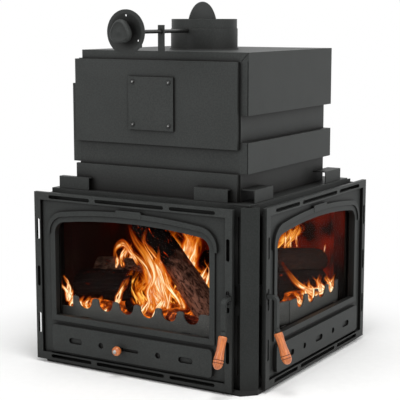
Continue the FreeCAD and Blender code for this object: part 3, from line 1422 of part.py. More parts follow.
doc.recompute()
for thing in doc.Objects:
    if {"Invalid", "Error"} & set(thing.State):
        raise RuntimeError(f"{thing.Name} did not build: {thing.State}")
    if thing.TypeId == "PartDesign::Pocket" and thing.Shape.Volume >= thing.BaseFeature.Shape.Volume - 1:
        raise RuntimeError(f"{thing.Name} takes nothing away")
os.makedirs("parts", exist_ok=True)
for name, piece in nodes.items():
    if piece.Shape.isNull() or not piece.Shape.isValid():
        raise RuntimeError(f"{name} has no valid shape")
    piece.Shape.exportStep(f"parts/{name}.step")
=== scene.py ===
import json
import math

import bmesh
import bpy
import numpy as np
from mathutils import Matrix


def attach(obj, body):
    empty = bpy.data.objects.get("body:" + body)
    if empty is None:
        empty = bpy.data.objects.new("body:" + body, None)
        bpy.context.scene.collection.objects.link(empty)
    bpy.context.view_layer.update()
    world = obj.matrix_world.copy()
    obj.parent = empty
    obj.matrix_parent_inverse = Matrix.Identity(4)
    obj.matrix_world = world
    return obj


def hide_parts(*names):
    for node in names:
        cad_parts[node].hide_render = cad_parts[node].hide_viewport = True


# Looks of a corner boiler fireplace insert. Lengths are millimetres in the CAD frame, and become metres
# where a mesh or a pattern is made. Places inside a material, the lamps and the camera are metres.

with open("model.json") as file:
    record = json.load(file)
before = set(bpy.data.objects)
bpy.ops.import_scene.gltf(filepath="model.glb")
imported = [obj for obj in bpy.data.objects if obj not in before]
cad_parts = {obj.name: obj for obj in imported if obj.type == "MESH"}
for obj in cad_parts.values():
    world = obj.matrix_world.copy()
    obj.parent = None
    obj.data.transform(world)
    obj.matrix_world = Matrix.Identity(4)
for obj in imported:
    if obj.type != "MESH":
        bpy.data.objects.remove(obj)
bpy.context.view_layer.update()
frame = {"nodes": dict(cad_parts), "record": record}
MM = 0.001

# Meshes from grids of points

# Which of a grid's two ways, its rows and its columns, come round to their start.
TUBE, RING, SHEET = (False, True), (True, True), (False, False)

def full_turn(steps):
    """Even angles all round."""
    return np.linspace(0, 2 * np.pi, steps, endpoint=False)

def turn_round(points):
    """The side door's twin of points at the front door: x and y change places and sign."""
    return points[..., [1, 0, 2]] * np.array([-1.0, -1.0, 1.0])

def grid_quads(rows, columns, closed_rows, closed_columns):
    """Four-cornered faces between neighbouring grid points; a closed way joins its end to its start."""
    row = np.arange(rows if closed_rows else rows - 1)
    column = np.arange(columns if closed_columns else columns - 1)
    row, column = np.meshgrid(row, column, indexing="ij")
    next_row, next_column = (row + 1) % rows, (column + 1) % columns
    corners = [(row, column), (row, next_column), (next_row, next_column), (next_row, column)]
    return np.stack([r * columns + c for r, c in corners], axis=-1).reshape(-1, 4)

def outward(vertices, quads):
    """Turns the faces round if the volume they enclose comes out negative."""
    a, b, c, d = (vertices[quads[:, index]] for index in range(4))
    volume = np.einsum("ij,ij->", a, np.cross(b, c)) + np.einsum("ij,ij->", a, np.cross(c, d))
    return quads if volume >= 0 else quads[:, ::-1]

def make_piece(name, grids, body, material, stands_for=(), grain=None, closed=TUBE):
    """One mesh from copies of a grid, an array of copies by rows by columns by xyz in millimetres.

    grain is a second array of the same shape, kept on the points as the material's own coordinates.
    All but a sheet has its faces turned outwards and the points of its poles merged.
    """
    copies, rows, columns = grids.shape[:3]
    vertices = grids.reshape(-1, 3) * MM
    quads = grid_quads(rows, columns, *closed)
    starts = np.arange(copies)[:, None, None] * rows * columns
    faces = (quads[None] + starts).reshape(-1, 4)
    if closed != SHEET:
        faces = outward(vertices - vertices.mean(axis=0), faces)
    mesh = bpy.data.meshes.new(name)
    mesh.from_pydata(vertices.tolist(), [], faces.tolist())
    if grain is not None:
        layer = mesh.attributes.new("grain", "FLOAT_VECTOR", "POINT")
        layer.data.foreach_set("vector", grain.reshape(-1).astype(np.float32))
    if closed != SHEET:
        work = bmesh.new()
        work.from_mesh(mesh)
        bmesh.ops.remove_doubles(work, verts=work.verts, dist=1e-6)
        work.to_mesh(mesh)
        work.free()
    mesh.shade_smooth()
    mesh.materials.append(material)
    piece = bpy.data.objects.new(name, mesh)
    bpy.context.scene.collection.objects.link(piece)
    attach(piece, body)
    if stands_for:
        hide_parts(*stands_for)

def smooth_line(keys, count):
    """A line through keys: between two keys a cubic whose slopes come from the keys' neighbours."""
    keys = np.asarray(keys, float)
    before = np.vstack([2 * keys[0] - keys[1], keys[:-1]])
    after = np.vstack([keys[1:], 2 * keys[-1] - keys[-2]])
    slope = (after - before) / 2
    place = np.linspace(0, len(keys) - 1, count)
    start = np.minimum(place.astype(int), len(keys) - 2)
    t = (place - start)[:, None]
    rise = 3 * t**2 - 2 * t**3
    return (keys[start] * (1 - rise) + keys[start + 1] * rise
            + slope[start] * (t**3 - 2 * t**2 + t) + slope[start + 1] * (t**3 - t**2))

def across(axis):
    """A unit axis with two unit directions square to it."""
    axis = np.asarray(axis, float) / np.linalg.norm(axis)
    helper = np.array([0.0, 0.0, 1.0]) if abs(axis[2]) < 0.9 else np.array([1.0, 0.0, 0.0])
    side = np.cross(helper, axis)
    side /= np.linalg.norm(side)
    return axis, side, np.cross(axis, side)

def turned(profile, start, axis, steps, swell=1.0):
    """A profile of (along, radius) turned about a line through start.

    Point = start + along * axis + radius * (cos a * side + sin a * up), for angles a all round.
    swell is a factor on the radius for each row and angle. Gives the points, and the piece's own
    coordinates in metres.
    """
    axis, side, up = across(axis)
    angle = full_turn(steps)
    along = profile[:, 0, None]
    radius = np.maximum(profile[:, 1, None], 0) * np.broadcast_to(swell, (len(profile), steps))
    x, y = radius * np.cos(angle), radius * np.sin(angle)
    points = np.asarray(start) + along[..., None] * axis + x[..., None] * side + y[..., None] * up
    own = np.stack([x, y, np.broadcast_to(along, x.shape)], axis=-1)
    return points[None], own[None] * MM

def tube(path, rings):
    """A closed path with a ring of (across, up) offsets at each of its points, square to the path."""
    ahead = np.roll(path, -1, axis=0) - np.roll(path, 1, axis=0)
    ahead /= np.linalg.norm(ahead, axis=1, keepdims=True)
    side = np.cross(ahead, [0.0, 1.0, 0.0])
    side /= np.linalg.norm(side, axis=1, keepdims=True)
    up = np.cross(side, ahead)
    return path[:, None] + rings[..., 0, None] * side[:, None] + rings[..., 1, None] * up[:, None]

# Materials
#
# A Map Range node takes 0 its value, 1 and 2 the range that comes in, 3 and 4 the range that goes out.
# A colour mix takes 0 the share of the second colour, 6 and 7 the two colours.

def linear(text):
    """An sRGB hex colour as linear light."""
    parts = [int(text[index:index + 2], 16) / 255 for index in (1, 3, 5)]
    return [c / 12.92 if c <= 0.04045 else ((c + 0.055) / 1.055) ** 2.4 for c in parts] + [1.0]

def repeats(*sizes):
    """A pattern's three scales from its sizes in millimetres."""
    return [1 / (size * MM) for size in sizes]

def add(tree, kind, inputs=None, out=None, **settings):
    """Adds a node with its settings, and fills its inputs with links or values.

    Gives the output called out, or else the first of its outputs that is in use.
    """
    node = tree.nodes.new("ShaderNode" + kind)
    for name, value in settings.items():
        setattr(node, name, value)
    for key, value in (inputs or {}).items():
        if isinstance(value, bpy.types.NodeSocket):
            tree.links.new(value, node.inputs[key])
        else:
            node.inputs[key].default_value = value
    if out is not None:
        return node.outputs[out]
    return next((output for output in node.outputs if output.enabled), None)

def new_material(name):
    """A material and its node tree, with nothing in it."""
    material = bpy.data.materials.new(name)
    material.use_nodes = True
    material.node_tree.nodes.clear()
    return material, material.node_tree

# Soot black: the colour of real soot, and also of the painted shade in corners and at the neck's foot.
SOOT_AND_PAINTED_SHADE = "#080504"
# The dull red of the fire's light, painted as a glow on the firebox's inner faces and its bricks.
PAINTED_FIRE_GLOW = "#8a1a05"
# Sizes in millimetres: the paint's clouds of tone, its rubbed edges, and how far its painted shade
# reaches in sharp creases and in wide nooks.
CLOUD_MM, EDGE_MM, CREASE_MM, NOOK_MM = 70, 1.2, 12, 90
FEELERS = 6

def painted(name, dark, light, rubbed, grain_mm, bump_mm, roughness, gloss, nook_shade=0.75,
            fire_side=None, foot_shade=None):
    """Black heat-proof paint over metal: a fine grain, cloudy tones, rubbed edges, painted shade in
    corners.

    nooks is how dark the painted shade gets deep between pieces. fire_side is a box in millimetres, a
    middle and half sizes, inside which soot covers the paint, with a painted red glow of the fire at the
    back. baked is two heights in millimetres: painted shade darkens the paint at the first, not the
    second.
    """
    material, tree = new_material(name)
    place = add(tree, "TexCoord", out="Object")
    grain = add(tree, "TexNoise", {"Vector": place, "Scale": 1 / (grain_mm * MM), "Detail": 3.0})
    cloud = add(tree, "TexNoise", {"Vector": place, "Scale": 1 / (CLOUD_MM * MM), "Detail": 4.0})
    speck = add(tree, "MapRange", {0: grain, 1: 0.35, 2: 0.65, 3: -0.6, 4: 0.6})
    shade = add(tree, "Math", {0: cloud, 1: speck}, operation="ADD", use_clamp=True)
    tone = add(tree, "Mix", {0: shade, 6: linear(dark), 7: linear(light)}, data_type="RGBA")
    soft = add(tree, "Bevel", {"Radius": EDGE_MM * MM}, samples=FEELERS)
    flat = add(tree, "NewGeometry", out="True Normal")
    turn = add(tree, "VectorMath", {0: soft, 1: flat}, operation="DOT_PRODUCT")
    edge = add(tree, "MapRange", {0: turn, 1: 0.995, 2: 0.75, 3: 0.0, 4: 1.0})
    patchy = add(tree, "Math", {0: edge, 1: cloud}, operation="MULTIPLY")
    worn = add(tree, "Mix", {0: patchy, 6: tone, 7: linear(rubbed)}, data_type="RGBA")
    spot = add(tree, "SeparateXYZ", {0: place}).node.outputs
    glow_level = 0.0
    # Painted shade at the foot: darkest at the first height, fading out by the second.
    if foot_shade:
        foot, clear = foot_shade
        foot_shading = add(tree, "MapRange", {0: spot[2], 1: foot * MM, 2: clear * MM, 3: 0.68, 4: 0.0})
        worn = add(tree, "Mix", {0: foot_shading, 6: worn, 7: linear(SOOT_AND_PAINTED_SHADE)}, data_type="RGBA")
    if fire_side:
        within = [
            add(tree, "Math", {0: spot[way], 1: middle * MM, 2: half * MM}, operation="COMPARE")
            for way, (middle, half) in enumerate(zip(*fire_side))
        ]
        in_plan = add(tree, "Math", {0: within[0], 1: within[1]}, operation="MULTIPLY")
        inside = add(tree, "Math", {0: in_plan, 1: within[2]}, operation="MULTIPLY")
        worn = add(tree, "Mix", {0: inside, 6: worn, 7: linear(SOOT_AND_PAINTED_SHADE)}, data_type="RGBA")
        # A painted red glow of the fire's light on the back of the inner faces, rising with height in
        # drifts.
        back = add(tree, "MapRange", {0: spot[1], 1: 0.20, 2: 0.30, 3: 0.0, 4: 1.0})
        rise = add(tree, "MapRange", {0: spot[2], 1: 0.22, 2: 0.40, 3: 0.0, 4: 0.30})
        drift = add(tree, "MapRange", {0: cloud, 1: 0.38, 2: 0.62, 3: 0.1, 4: 1.0})
        warm = add(tree, "Math", {0: rise, 1: drift}, operation="MULTIPLY")
        behind = add(tree, "Math", {0: inside, 1: back}, operation="MULTIPLY")
        glow_level = add(tree, "Math", {0: behind, 1: warm}, operation="MULTIPLY")
    # Painted shade: soot black laid into sharp creases, and by nooks into wide hollows between pieces.
    crease = add(tree, "AmbientOcclusion", {"Distance": CREASE_MM * MM}, "AO", samples=FEELERS)
    sharp = add(tree, "MapRange", {0: crease, 1: 0.97, 2: 0.55, 3: 0.0, 4: 0.92})
    nook = add(tree, "AmbientOcclusion", {"Distance": NOOK_MM * MM}, "AO", samples=FEELERS)
    wide = add(tree, "MapRange", {0: nook, 1: 0.92, 2: 0.45, 3: 0.0, 4: nook_shade})
    painted_shade = add(tree, "Math", {0: sharp, 1: wide}, operation="MAXIMUM")
    toned = add(tree, "Mix", {0: painted_shade, 6: worn, 7: linear(SOOT_AND_PAINTED_SHADE)}, data_type="RGBA")
    shine = add(tree, "MapRange", {0: grain, 1: 0.3, 2: 0.7, 3: roughness - 0.05, 4: roughness + 0.05})
    bump = add(tree, "Bump", {
        "Strength": 0.5, "Distance": bump_mm * MM, "Height": grain, "Normal": soft,
    })
    shader = add(tree, "BsdfPrincipled", {
        "Base Color": toned, "Roughness": shine, "Normal": bump, "Specular IOR Level": gloss,
        "Emission Color": linear(PAINTED_FIRE_GLOW), "Emission Strength": glow_level,
    })
    add(tree, "OutputMaterial", {0: shader})
    return material

# Orange peel of the stove paint: 1 to 2 mm on the real one, drawn coarser here so that it shows.
PEEL = {"grain_mm": 4.5, "bump_mm": 0.26}
SAND_GRAIN = {"grain_mm": 3.2, "bump_mm": 0.28}
CHARCOAL = ("#2d2f2e", "#353736", "#555755")
# The room inside the firebox's walls, as a middle and half sizes.
FIRE_ROOM = ((-3.0, -6.0, 266.0), (333.0, 323.5, 266.0))

# Sheet steel sprayed with matt stove paint: an even charcoal with a fine orange peel.
STOVE_PAINT = painted("stove_paint_on_sheet_steel", *CHARCOAL, **PEEL, roughness=0.48, gloss=0.16)
# Sand-cast iron under the same paint: the sand's grain shows through as a sharper bump.
CAST_IRON = painted("painted_cast_iron", "#2b2d2c", "#343635", "#545655", **SAND_GRAIN,
                    roughness=0.50, gloss=0.16)
# Blackened screws and shafts: darker, smoother and with small sharp lights.
BLACK_STEEL = painted("blackened_steel", "#161716", "#222322", "#6c6c67", grain_mm=1.5, bump_mm=0.05,
                      roughness=0.28, gloss=0.5)
# Iron that stands in the fire: the paint is burnt off and the skin is an ash grey, drawn lighter as
# painted light where the door and glass shade it, and with little painted shade.
GREY_IRON_WITH_PAINTED_LIGHT = painted("fire_greyed_cast_iron_painted_lighter", "#565755", "#686865", "#7c7a75", **SAND_GRAIN,
                      roughness=0.62, gloss=0.16, nook_shade=0.15)
# Steel inside the firebox, under a dull coat of soot.
SOOTED_STEEL = painted("sooted_steel", "#0e0b0a", "#1a1412", "#2c2420", grain_mm=5.0, bump_mm=0.30,
                       roughness=0.80, gloss=0.10)
# The corner post's paint: a darker copy of the stove paint, painted shade between the two doors.
SHADED_POST_PAINT = painted("stove_paint_darkened_as_painted_shade", "#222423", "#292b2a", "#4c4e4c", **PEEL,
                      roughness=0.52, gloss=0.14)
# The boiler's neck: the same paint, with painted shade that darkens it towards its foot on the top
# plate.
NECK_PAINT = painted("stove_paint_with_painted_shade_at_its_foot", *CHARCOAL, **PEEL, roughness=0.48, gloss=0.16,
                     foot_shade=(530.0, 615.0))
# The firebox's steel: painted outside, and black with soot on the faces that the fire reaches, with a
# painted red glow of the fire's light at the back.
FIREBOX_STEEL = painted("firebox_steel_sooted_inside", *CHARCOAL, **PEEL, roughness=0.55, gloss=0.12,
                        fire_side=FIRE_ROOM)
# A nearly black, dull bead in the jackets' seams: painted shade for the dark seam lines.
SEAM_SHADE_BLACK = painted("black_seam_bead_painted_shade", "#060606", "#0d0d0d", "#161616", grain_mm=2.0,
                        bump_mm=0.20, roughness=0.85, gloss=0.08)

def bare_steel():
    """Zinc-grey turned steel: fine turning marks and a soft metal shine."""
    material, tree = new_material("bright_zinc_plated_steel")
    place = add(tree, "TexCoord", out="Object")
    marks = add(tree, "TexNoise", {"Vector": place, "Scale": 1 / (1.2 * MM), "Detail": 2.0})
    tone = add(tree, "Mix", {0: marks, 6: linear("#8a8b89"), 7: linear("#b4b5b2")}, data_type="RGBA")
    shine = add(tree, "MapRange", {0: marks, 3: 0.28, 4: 0.42})
    bump = add(tree, "Bump", {"Strength": 0.3, "Distance": 0.03 * MM, "Height": marks})
    shader = add(tree, "BsdfPrincipled", {
        "Base Color": tone, "Metallic": 1.0, "Roughness": shine, "Normal": bump,
    })
    add(tree, "OutputMaterial", {0: shader})
    return material

BARE_STEEL = bare_steel()

# How far down a grip its two burnt grooves are, and half their width.
GRIP_GROOVES, GROOVE_HALF = (65.8, 74.4), 1.1

def turned_wood():
    """Oiled alder turned on a lathe: orange-brown, streaked along the grain, its grooves burnt dark."""
    material, tree = new_material("oiled_turned_alder")
    own = add(tree, "Attribute", out="Vector", attribute_name="grain")
    drawn = add(tree, "Mapping", {"Vector": own, "Scale": repeats(3.5, 3.5, 45)})
    streak = add(tree, "TexNoise", {"Vector": drawn, "Scale": 1.0, "Detail": 4.0, "Distortion": 0.6})
    spread = add(tree, "MapRange", {0: streak, 1: 0.3, 2: 0.7})
    body = add(tree, "Mix", {0: spread, 6: linear("#a04d20"), 7: linear("#d57d40")}, data_type="RGBA")
    pores = add(tree, "Mapping", {"Vector": own, "Scale": repeats(0.9, 0.9, 9)})
    pore = add(tree, "TexNoise", {"Vector": pores, "Scale": 1.0, "Detail": 1.0})
    fleck = add(tree, "MapRange", {0: pore, 1: 0.60, 2: 0.72, 3: 0.0, 4: 0.55})
    flecked = add(tree, "Mix", {0: fleck, 6: body, 7: linear("#6d3516")}, data_type="RGBA")
    along = add(tree, "SeparateXYZ", {0: own}, "Z")
    rings = [
        add(tree, "Math", {0: along, 1: groove * MM, 2: GROOVE_HALF * MM}, operation="COMPARE")
        for groove in GRIP_GROOVES
    ]
    burnt = add(tree, "Math", {0: rings[0], 1: rings[1]}, operation="MAXIMUM")
    ringed = add(tree, "Mix", {0: burnt, 6: flecked, 7: linear("#74391a")}, data_type="RGBA")
    bump = add(tree, "Bump", {"Strength": 0.25, "Distance": 0.15 * MM, "Height": pore})
    shader = add(tree, "BsdfPrincipled", {
        "Base Color": ringed, "Roughness": 0.38, "Normal": bump,
        "Coat Weight": 0.25, "Coat Roughness": 0.25,
    })
    add(tree, "OutputMaterial", {0: shader})
    return material

TURNED_WOOD = turned_wood()

def stove_glass():
    """Clear glass ceramic, a little smoked: nearly see-through, with a faint haze of soot in drifts."""
    material, tree = new_material("clear_glass_ceramic")
    place = add(tree, "TexCoord", out="Object")
    drift = add(tree, "TexNoise", {"Vector": place, "Scale": 1 / (120 * MM), "Detail": 3.0})
    tint = add(tree, "Mix", {0: drift, 6: linear("#0b0807"), 7: linear("#1a120d")}, data_type="RGBA")
    haze = add(tree, "MapRange", {0: drift, 1: 0.3, 2: 0.8, 3: 0.03, 4: 0.09})
    shader = add(tree, "BsdfPrincipled", {
        "Base Color": tint, "Roughness": 0.04, "Alpha": haze, "Specular IOR Level": 0.1,
    })
    add(tree, "OutputMaterial", {0: shader})
    return material

STOVE_GLASS = stove_glass()

YARN_LEAN = math.radians(35)
# A wave texture goes through this many radians in one unit.
WAVE_RADIANS = 20

def glass_rope():
    """Knitted glass-fibre rope, graphite grey: two sets of slanting yarns that cross.

    The yarns are 3 mm apart on the real rope, and drawn 8 mm apart so that they show.
    """
    material, tree = new_material("braided_glass_fibre_rope")
    own = add(tree, "Attribute", out="Vector", attribute_name="grain")
    yarns = [
        add(tree, "TexWave", {
            "Vector": add(tree, "Mapping", {"Vector": own, "Rotation": (0.0, 0.0, lean)}),
            "Scale": 2 * math.pi / WAVE_RADIANS / (8 * MM), "Distortion": 0.8, "Detail": 1.0,
        }, 1)
        for lean in (YARN_LEAN, -YARN_LEAN)
    ]
    weave = add(tree, "Math", {0: yarns[0], 1: yarns[1]}, operation="MULTIPLY")
    tone = add(tree, "Mix", {0: weave, 6: linear("#2b2a29"), 7: linear("#77746f")}, data_type="RGBA")
    bump = add(tree, "Bump", {"Strength": 0.6, "Distance": 0.6 * MM, "Height": weave})
    shader = add(tree, "BsdfPrincipled", {"Base Color": tone, "Roughness": 0.85, "Normal": bump})
    add(tree, "OutputMaterial", {0: shader})
    return material

GLASS_ROPE = glass_rope()

def flat_seal():
    """Pressed graphite fibre tape: dark grey with short pale fibres."""
    material, tree = new_material("pressed_fibre_tape")
    place = add(tree, "TexCoord", out="Object")
    fibre = add(tree, "TexNoise", {"Vector": place, "Scale": 1 / (1.5 * MM), "Detail": 4.0})
    tone = add(tree, "Mix", {0: fibre, 6: linear("#1f1e1d"), 7: linear("#4a4846")}, data_type="RGBA")
    bump = add(tree, "Bump", {"Strength": 0.5, "Distance": 0.2 * MM, "Height": fibre})
    shader = add(tree, "BsdfPrincipled", {"Base Color": tone, "Roughness": 0.9, "Normal": bump})
    add(tree, "OutputMaterial", {0: shader})
    return material

FLAT_SEAL = flat_seal()

def sooty_brick():
    """Fired clay slabs: red-brown and pitted, with soot that thickens with height, and a painted red
    glow.

    The painted glow of the fire's light grows to the right and to the back, in drifts.
    """
    material, tree = new_material("sooty_fired_clay")
    place = add(tree, "TexCoord", out="Object")
    pits = add(tree, "TexNoise", {"Vector": place, "Scale": 1 / (4 * MM), "Detail": 5.0})
    drift = add(tree, "TexNoise", {"Vector": place, "Scale": 1 / (60 * MM), "Detail": 5.0})
    clay = add(tree, "Mix", {0: pits, 6: linear("#240d07"), 7: linear("#45200f")}, data_type="RGBA")
    x, y, z = add(tree, "SeparateXYZ", {0: place}).node.outputs
    rise = add(tree, "MapRange", {0: z, 1: 0.10, 2: 0.36, 3: 0.60, 4: 1.15})
    soot = add(tree, "Math", {0: rise, 1: drift, 2: 0.25}, operation="MULTIPLY_ADD", use_clamp=True)
    tone = add(tree, "Mix", {0: soot, 6: clay, 7: linear("#0c0504")}, data_type="RGBA")
    # A painted red glow of the fire's light, stronger to the right and to the back.
    slant = add(tree, "Math", {0: y, 1: 0.6, 2: x}, operation="MULTIPLY_ADD")
    near = add(tree, "MapRange", {0: slant, 1: -0.40, 2: 0.35, 3: 0.03, 4: 1.0})
    red = add(tree, "MapRange", {0: drift, 1: 0.40, 2: 0.70, 3: 0.0, 4: 0.60})
    lit = add(tree, "Math", {0: near, 1: red}, operation="MULTIPLY")
    bump = add(tree, "Bump", {"Strength": 0.5, "Distance": 0.8 * MM, "Height": pits})
    shader = add(tree, "BsdfPrincipled", {
        "Base Color": tone, "Roughness": 0.92, "Normal": bump, "Specular IOR Level": 0.1,
        "Emission Color": linear(PAINTED_FIRE_GLOW), "Emission Strength": lit,
    })
    add(tree, "OutputMaterial", {0: shader})
    return material

SOOTY_BRICK = sooty_brick()

def charred_bark(name, dark, light, glow, whole_mm=900):
    """Burning firewood: cracked bark, charred black in drifts, with red heat in the deepest cracks.

    whole_mm is how far along from its foot the bark lasts; the log is black further on.
    """
    material, tree = new_material(name)
    own = add(tree, "Attribute", out="Vector", attribute_name="grain")
    drawn = add(tree, "Mapping", {"Vector": own, "Scale": repeats(7, 7, 20)})
    fissure = add(tree, "TexNoise", {"Vector": drawn, "Scale": 1.0, "Detail": 6.0, "Distortion": 0.8})
    drift = add(tree, "TexNoise", {"Vector": own, "Scale": 1 / (45 * MM), "Detail": 5.0})
    pits = add(tree, "MapRange", {0: fissure, 1: 0.38, 2: 0.62})
    bark = add(tree, "Mix", {0: pits, 6: linear(dark), 7: linear(light)}, data_type="RGBA")
    patch = add(tree, "MapRange", {0: drift, 1: 0.53, 2: 0.74})
    along = add(tree, "SeparateXYZ", {0: own}, "Z")
    uneven = add(tree, "Math", {0: drift, 1: 0.22, 2: along}, operation="MULTIPLY_ADD")
    tip = add(tree, "MapRange", {0: uneven, 1: (whole_mm + 90) * MM, 2: (whole_mm + 150) * MM})
    burnt = add(tree, "Math", {0: patch, 1: tip}, operation="MAXIMUM")
    tone = add(tree, "Mix", {0: burnt, 6: bark, 7: linear("#0d0908")}, data_type="RGBA")
    crack = add(tree, "MapRange", {0: fissure, 1: 0.36, 2: 0.27, 3: 0.0, 4: glow})
    glow_level = add(tree, "Math", {0: crack, 1: burnt}, operation="MULTIPLY")
    bump = add(tree, "Bump", {"Strength": 0.9, "Distance": 4 * MM, "Height": fissure})
    shader = add(tree, "BsdfPrincipled", {
        "Base Color": tone, "Roughness": 0.85, "Normal": bump, "Specular IOR Level": 0.08,
        "Emission Color": linear("#ff4a0a"), "Emission Strength": glow_level,
    })
    add(tree, "OutputMaterial", {0: shader})
    return material

# Firewood from fresh brown bark to black char; glow is how bright its cracks are.
BROWN_LOG = charred_bark("charring_brown_firewood", "#2e1710", "#966552", glow=0.9, whole_mm=185)
BLACK_LOG = charred_bark("charred_black_firewood", "#090403", "#1e0f0b", glow=2.2)
GREY_LOG = charred_bark("ash_grey_firewood", "#2c1a13", "#7a5848", glow=0.8)
DARK_LOG = charred_bark("dark_brown_firewood", "#080403", "#38231b", glow=1.0)
DULL_LOG = charred_bark("dull_red_firewood", "#2a0c06", "#8a3620", glow=1.2)

def hot_embers():
    """A bed of glowing charcoal: lumps that glow dark red, and orange where the air reaches them."""
    material, tree = new_material("glowing_charcoal")
    place = add(tree, "TexCoord", out="Object")
    lump = add(tree, "TexVoronoi", {"Vector": place, "Scale": 1 / (22 * MM)})
    grit = add(tree, "TexNoise", {"Vector": place, "Scale": 1 / (8 * MM), "Detail": 4.0})
    drift = add(tree, "TexNoise", {"Vector": place, "Scale": 1 / (42 * MM), "Detail": 2.0})
    crust = add(tree, "Mix", {0: grit, 6: linear("#0a0504"), 7: linear("#2c1712")}, data_type="RGBA")
    between = add(tree, "MapRange", {0: lump, 1: 0.20, 2: 0.75, 3: 0.15, 4: 1.0})
    fleck = add(tree, "MapRange", {0: grit, 1: 0.36, 2: 0.66, 3: 0.2, 4: 1.0})
    warm = add(tree, "MapRange", {0: drift, 1: 0.38, 2: 0.66, 3: 0.15, 4: 1.0})
    patch = add(tree, "Math", {0: between, 1: fleck}, operation="MULTIPLY")
    glow_level = add(tree, "Math", {0: patch, 1: warm}, operation="MULTIPLY")
    colour = add(tree, "Mix", {0: glow_level, 6: linear("#6e0f02"), 7: linear("#ff8420")}, data_type="RGBA")
    strength = add(tree, "MapRange", {0: glow_level, 3: 0.25, 4: 3.0})
    bump = add(tree, "Bump", {"Strength": 0.8, "Distance": 4 * MM, "Height": lump})
    shader = add(tree, "BsdfPrincipled", {
        "Base Color": crust, "Roughness": 0.95, "Normal": bump,
        "Emission Color": colour, "Emission Strength": strength,
    })
    add(tree, "OutputMaterial", {0: shader})
    return material

HOT_EMBERS = hot_embers()

def wood_flame(name, edge, body, core, cover, torn):
    """Burning gas: palest along its middle, redder to sides and tip, thin where the draught tears it.

    Its own coordinates are the place across, from -1 to 1, the place along, from 0 to 1, and a number
    that differs from flame to flame. cover is how solid it looks, and torn how far the draught goes.
    """
    material, tree = new_material(name)
    own = add(tree, "Attribute", out="Vector", attribute_name="grain")
    aside, along, _ = add(tree, "SeparateXYZ", {0: own}).node.outputs
    drawn = add(tree, "Mapping", {"Vector": own, "Scale": (1.3, 2.2, 7.0)})
    draught = add(tree, "TexNoise", {"Vector": drawn, "Scale": 1.0, "Detail": 3.0, "Distortion": 1.4})
    lick = add(tree, "MapRange", {0: draught, 1: torn, 2: 0.60})
    square = add(tree, "Math", {0: aside, 1: aside}, operation="MULTIPLY")
    middle = add(tree, "MapRange", {0: square, 1: 1.0, 2: 0.0}, interpolation_type="SMOOTHSTEP")
    fade = add(tree, "MapRange", {0: along, 1: 1.0, 2: 0.5})
    root = add(tree, "MapRange", {0: along, 1: 0.0, 2: 0.10})
    sides = add(tree, "Math", {0: middle, 1: fade}, operation="MULTIPLY")
    foot = add(tree, "Math", {0: sides, 1: root}, operation="MULTIPLY")
    shape = add(tree, "Math", {0: foot, 1: lick}, operation="MULTIPLY")
    mask = add(tree, "Math", {0: shape, 1: cover}, operation="MULTIPLY", use_clamp=True)
    glow_level = add(tree, "Math", {0: shape, 1: middle}, operation="MULTIPLY")
    outer = add(tree, "MapRange", {0: glow_level, 1: 0.05, 2: 0.55})
    glow = add(tree, "Mix", {0: outer, 6: linear(edge), 7: linear(body)}, data_type="RGBA")
    inner = add(tree, "MapRange", {0: glow_level, 1: 0.50, 2: 0.90})
    colour = add(tree, "Mix", {0: inner, 6: glow, 7: linear(core)}, data_type="RGBA")
    strength = add(tree, "MapRange", {0: glow_level, 3: 0.9, 4: 1.3})
    shader = add(tree, "BsdfPrincipled", {
        "Base Color": linear("#000000"), "Roughness": 1.0, "Specular IOR Level": 0.0, "Alpha": mask,
        "Emission Color": colour, "Emission Strength": strength,
    })
    add(tree, "OutputMaterial", {0: shader})
    return material

# Bright tongues of flame, and the wide dull veils behind them.
TONGUE = wood_flame("wood_flame_tongue", "#d23c04", "#fb962a", "#ffeec2", cover=1.4, torn=0.30)
VEIL = wood_flame("wood_flame_veil", "#981c02", "#f47c10", "#ffbe58", cover=1.0, torn=0.40)

# CAD nodes take their finish by name, and by slot where no name is given

FINISH_BY_SLOT = {
    "black_steel": STOVE_PAINT, "black_iron": CAST_IRON, "bare_steel": BARE_STEEL, "wood": TURNED_WOOD,
    "stove_glass": STOVE_GLASS, "seal_rope": FLAT_SEAL, "firebrick": SOOTY_BRICK,
}
NODES_BY_FINISH = [
    (BLACK_STEEL, "damper_shaft front_glass_clips side_glass_clips"),
    (CAST_IRON, "damper_stop_arm front_latch_lever side_latch_lever"),
    (GREY_IRON_WITH_PAINTED_LIGHT, "log_fence grate"),
    (SOOTED_STEEL, "hearth_floor smoke_baffle water_tubes"),
    (SHADED_POST_PAINT, "corner_post"),
    (NECK_PAINT, "neck_plate boiler_body"),
    (FIREBOX_STEEL, "firebox_shell front_door_seat side_door_seat"),
]
FINISH_BY_NODE = {name: finish for finish, names in NODES_BY_FINISH for name in names.split()}
for part in frame["record"]["subparts"]:
    node = frame["nodes"][part["node"]]
    node.data.materials.clear()
    node.data.materials.append(
        FINISH_BY_NODE.get(part["node"], FINISH_BY_SLOT[part["material_slot"]]))

# Turned wooden grips on the latches

GRIP_LEAN = math.radians(21.5)
HANG = np.array([0.0, -math.sin(GRIP_LEAN), -math.cos(GRIP_LEAN)])
GRIP_TOP = np.array([292.0, -399.5, 190.0]) + 11 * HANG
GRIP_KEYS = [
    (0, 0), (0.2, 8.0), (1.2, 11.0), (4, 12.3), (8, 12.4), (13, 12.0), (22, 11.5), (33, 11.4),
    (44, 11.9), (55, 13.1), (62, 13.9), (64.4, 14.1), (65.8, 12.6), (67.2, 14.2), (73, 14.4),
    (74.4, 12.9), (75.8, 14.3), (80, 13.5), (85.5, 11.0), (89.5, 7.4), (91.5, 3.6), (92, 0),
]
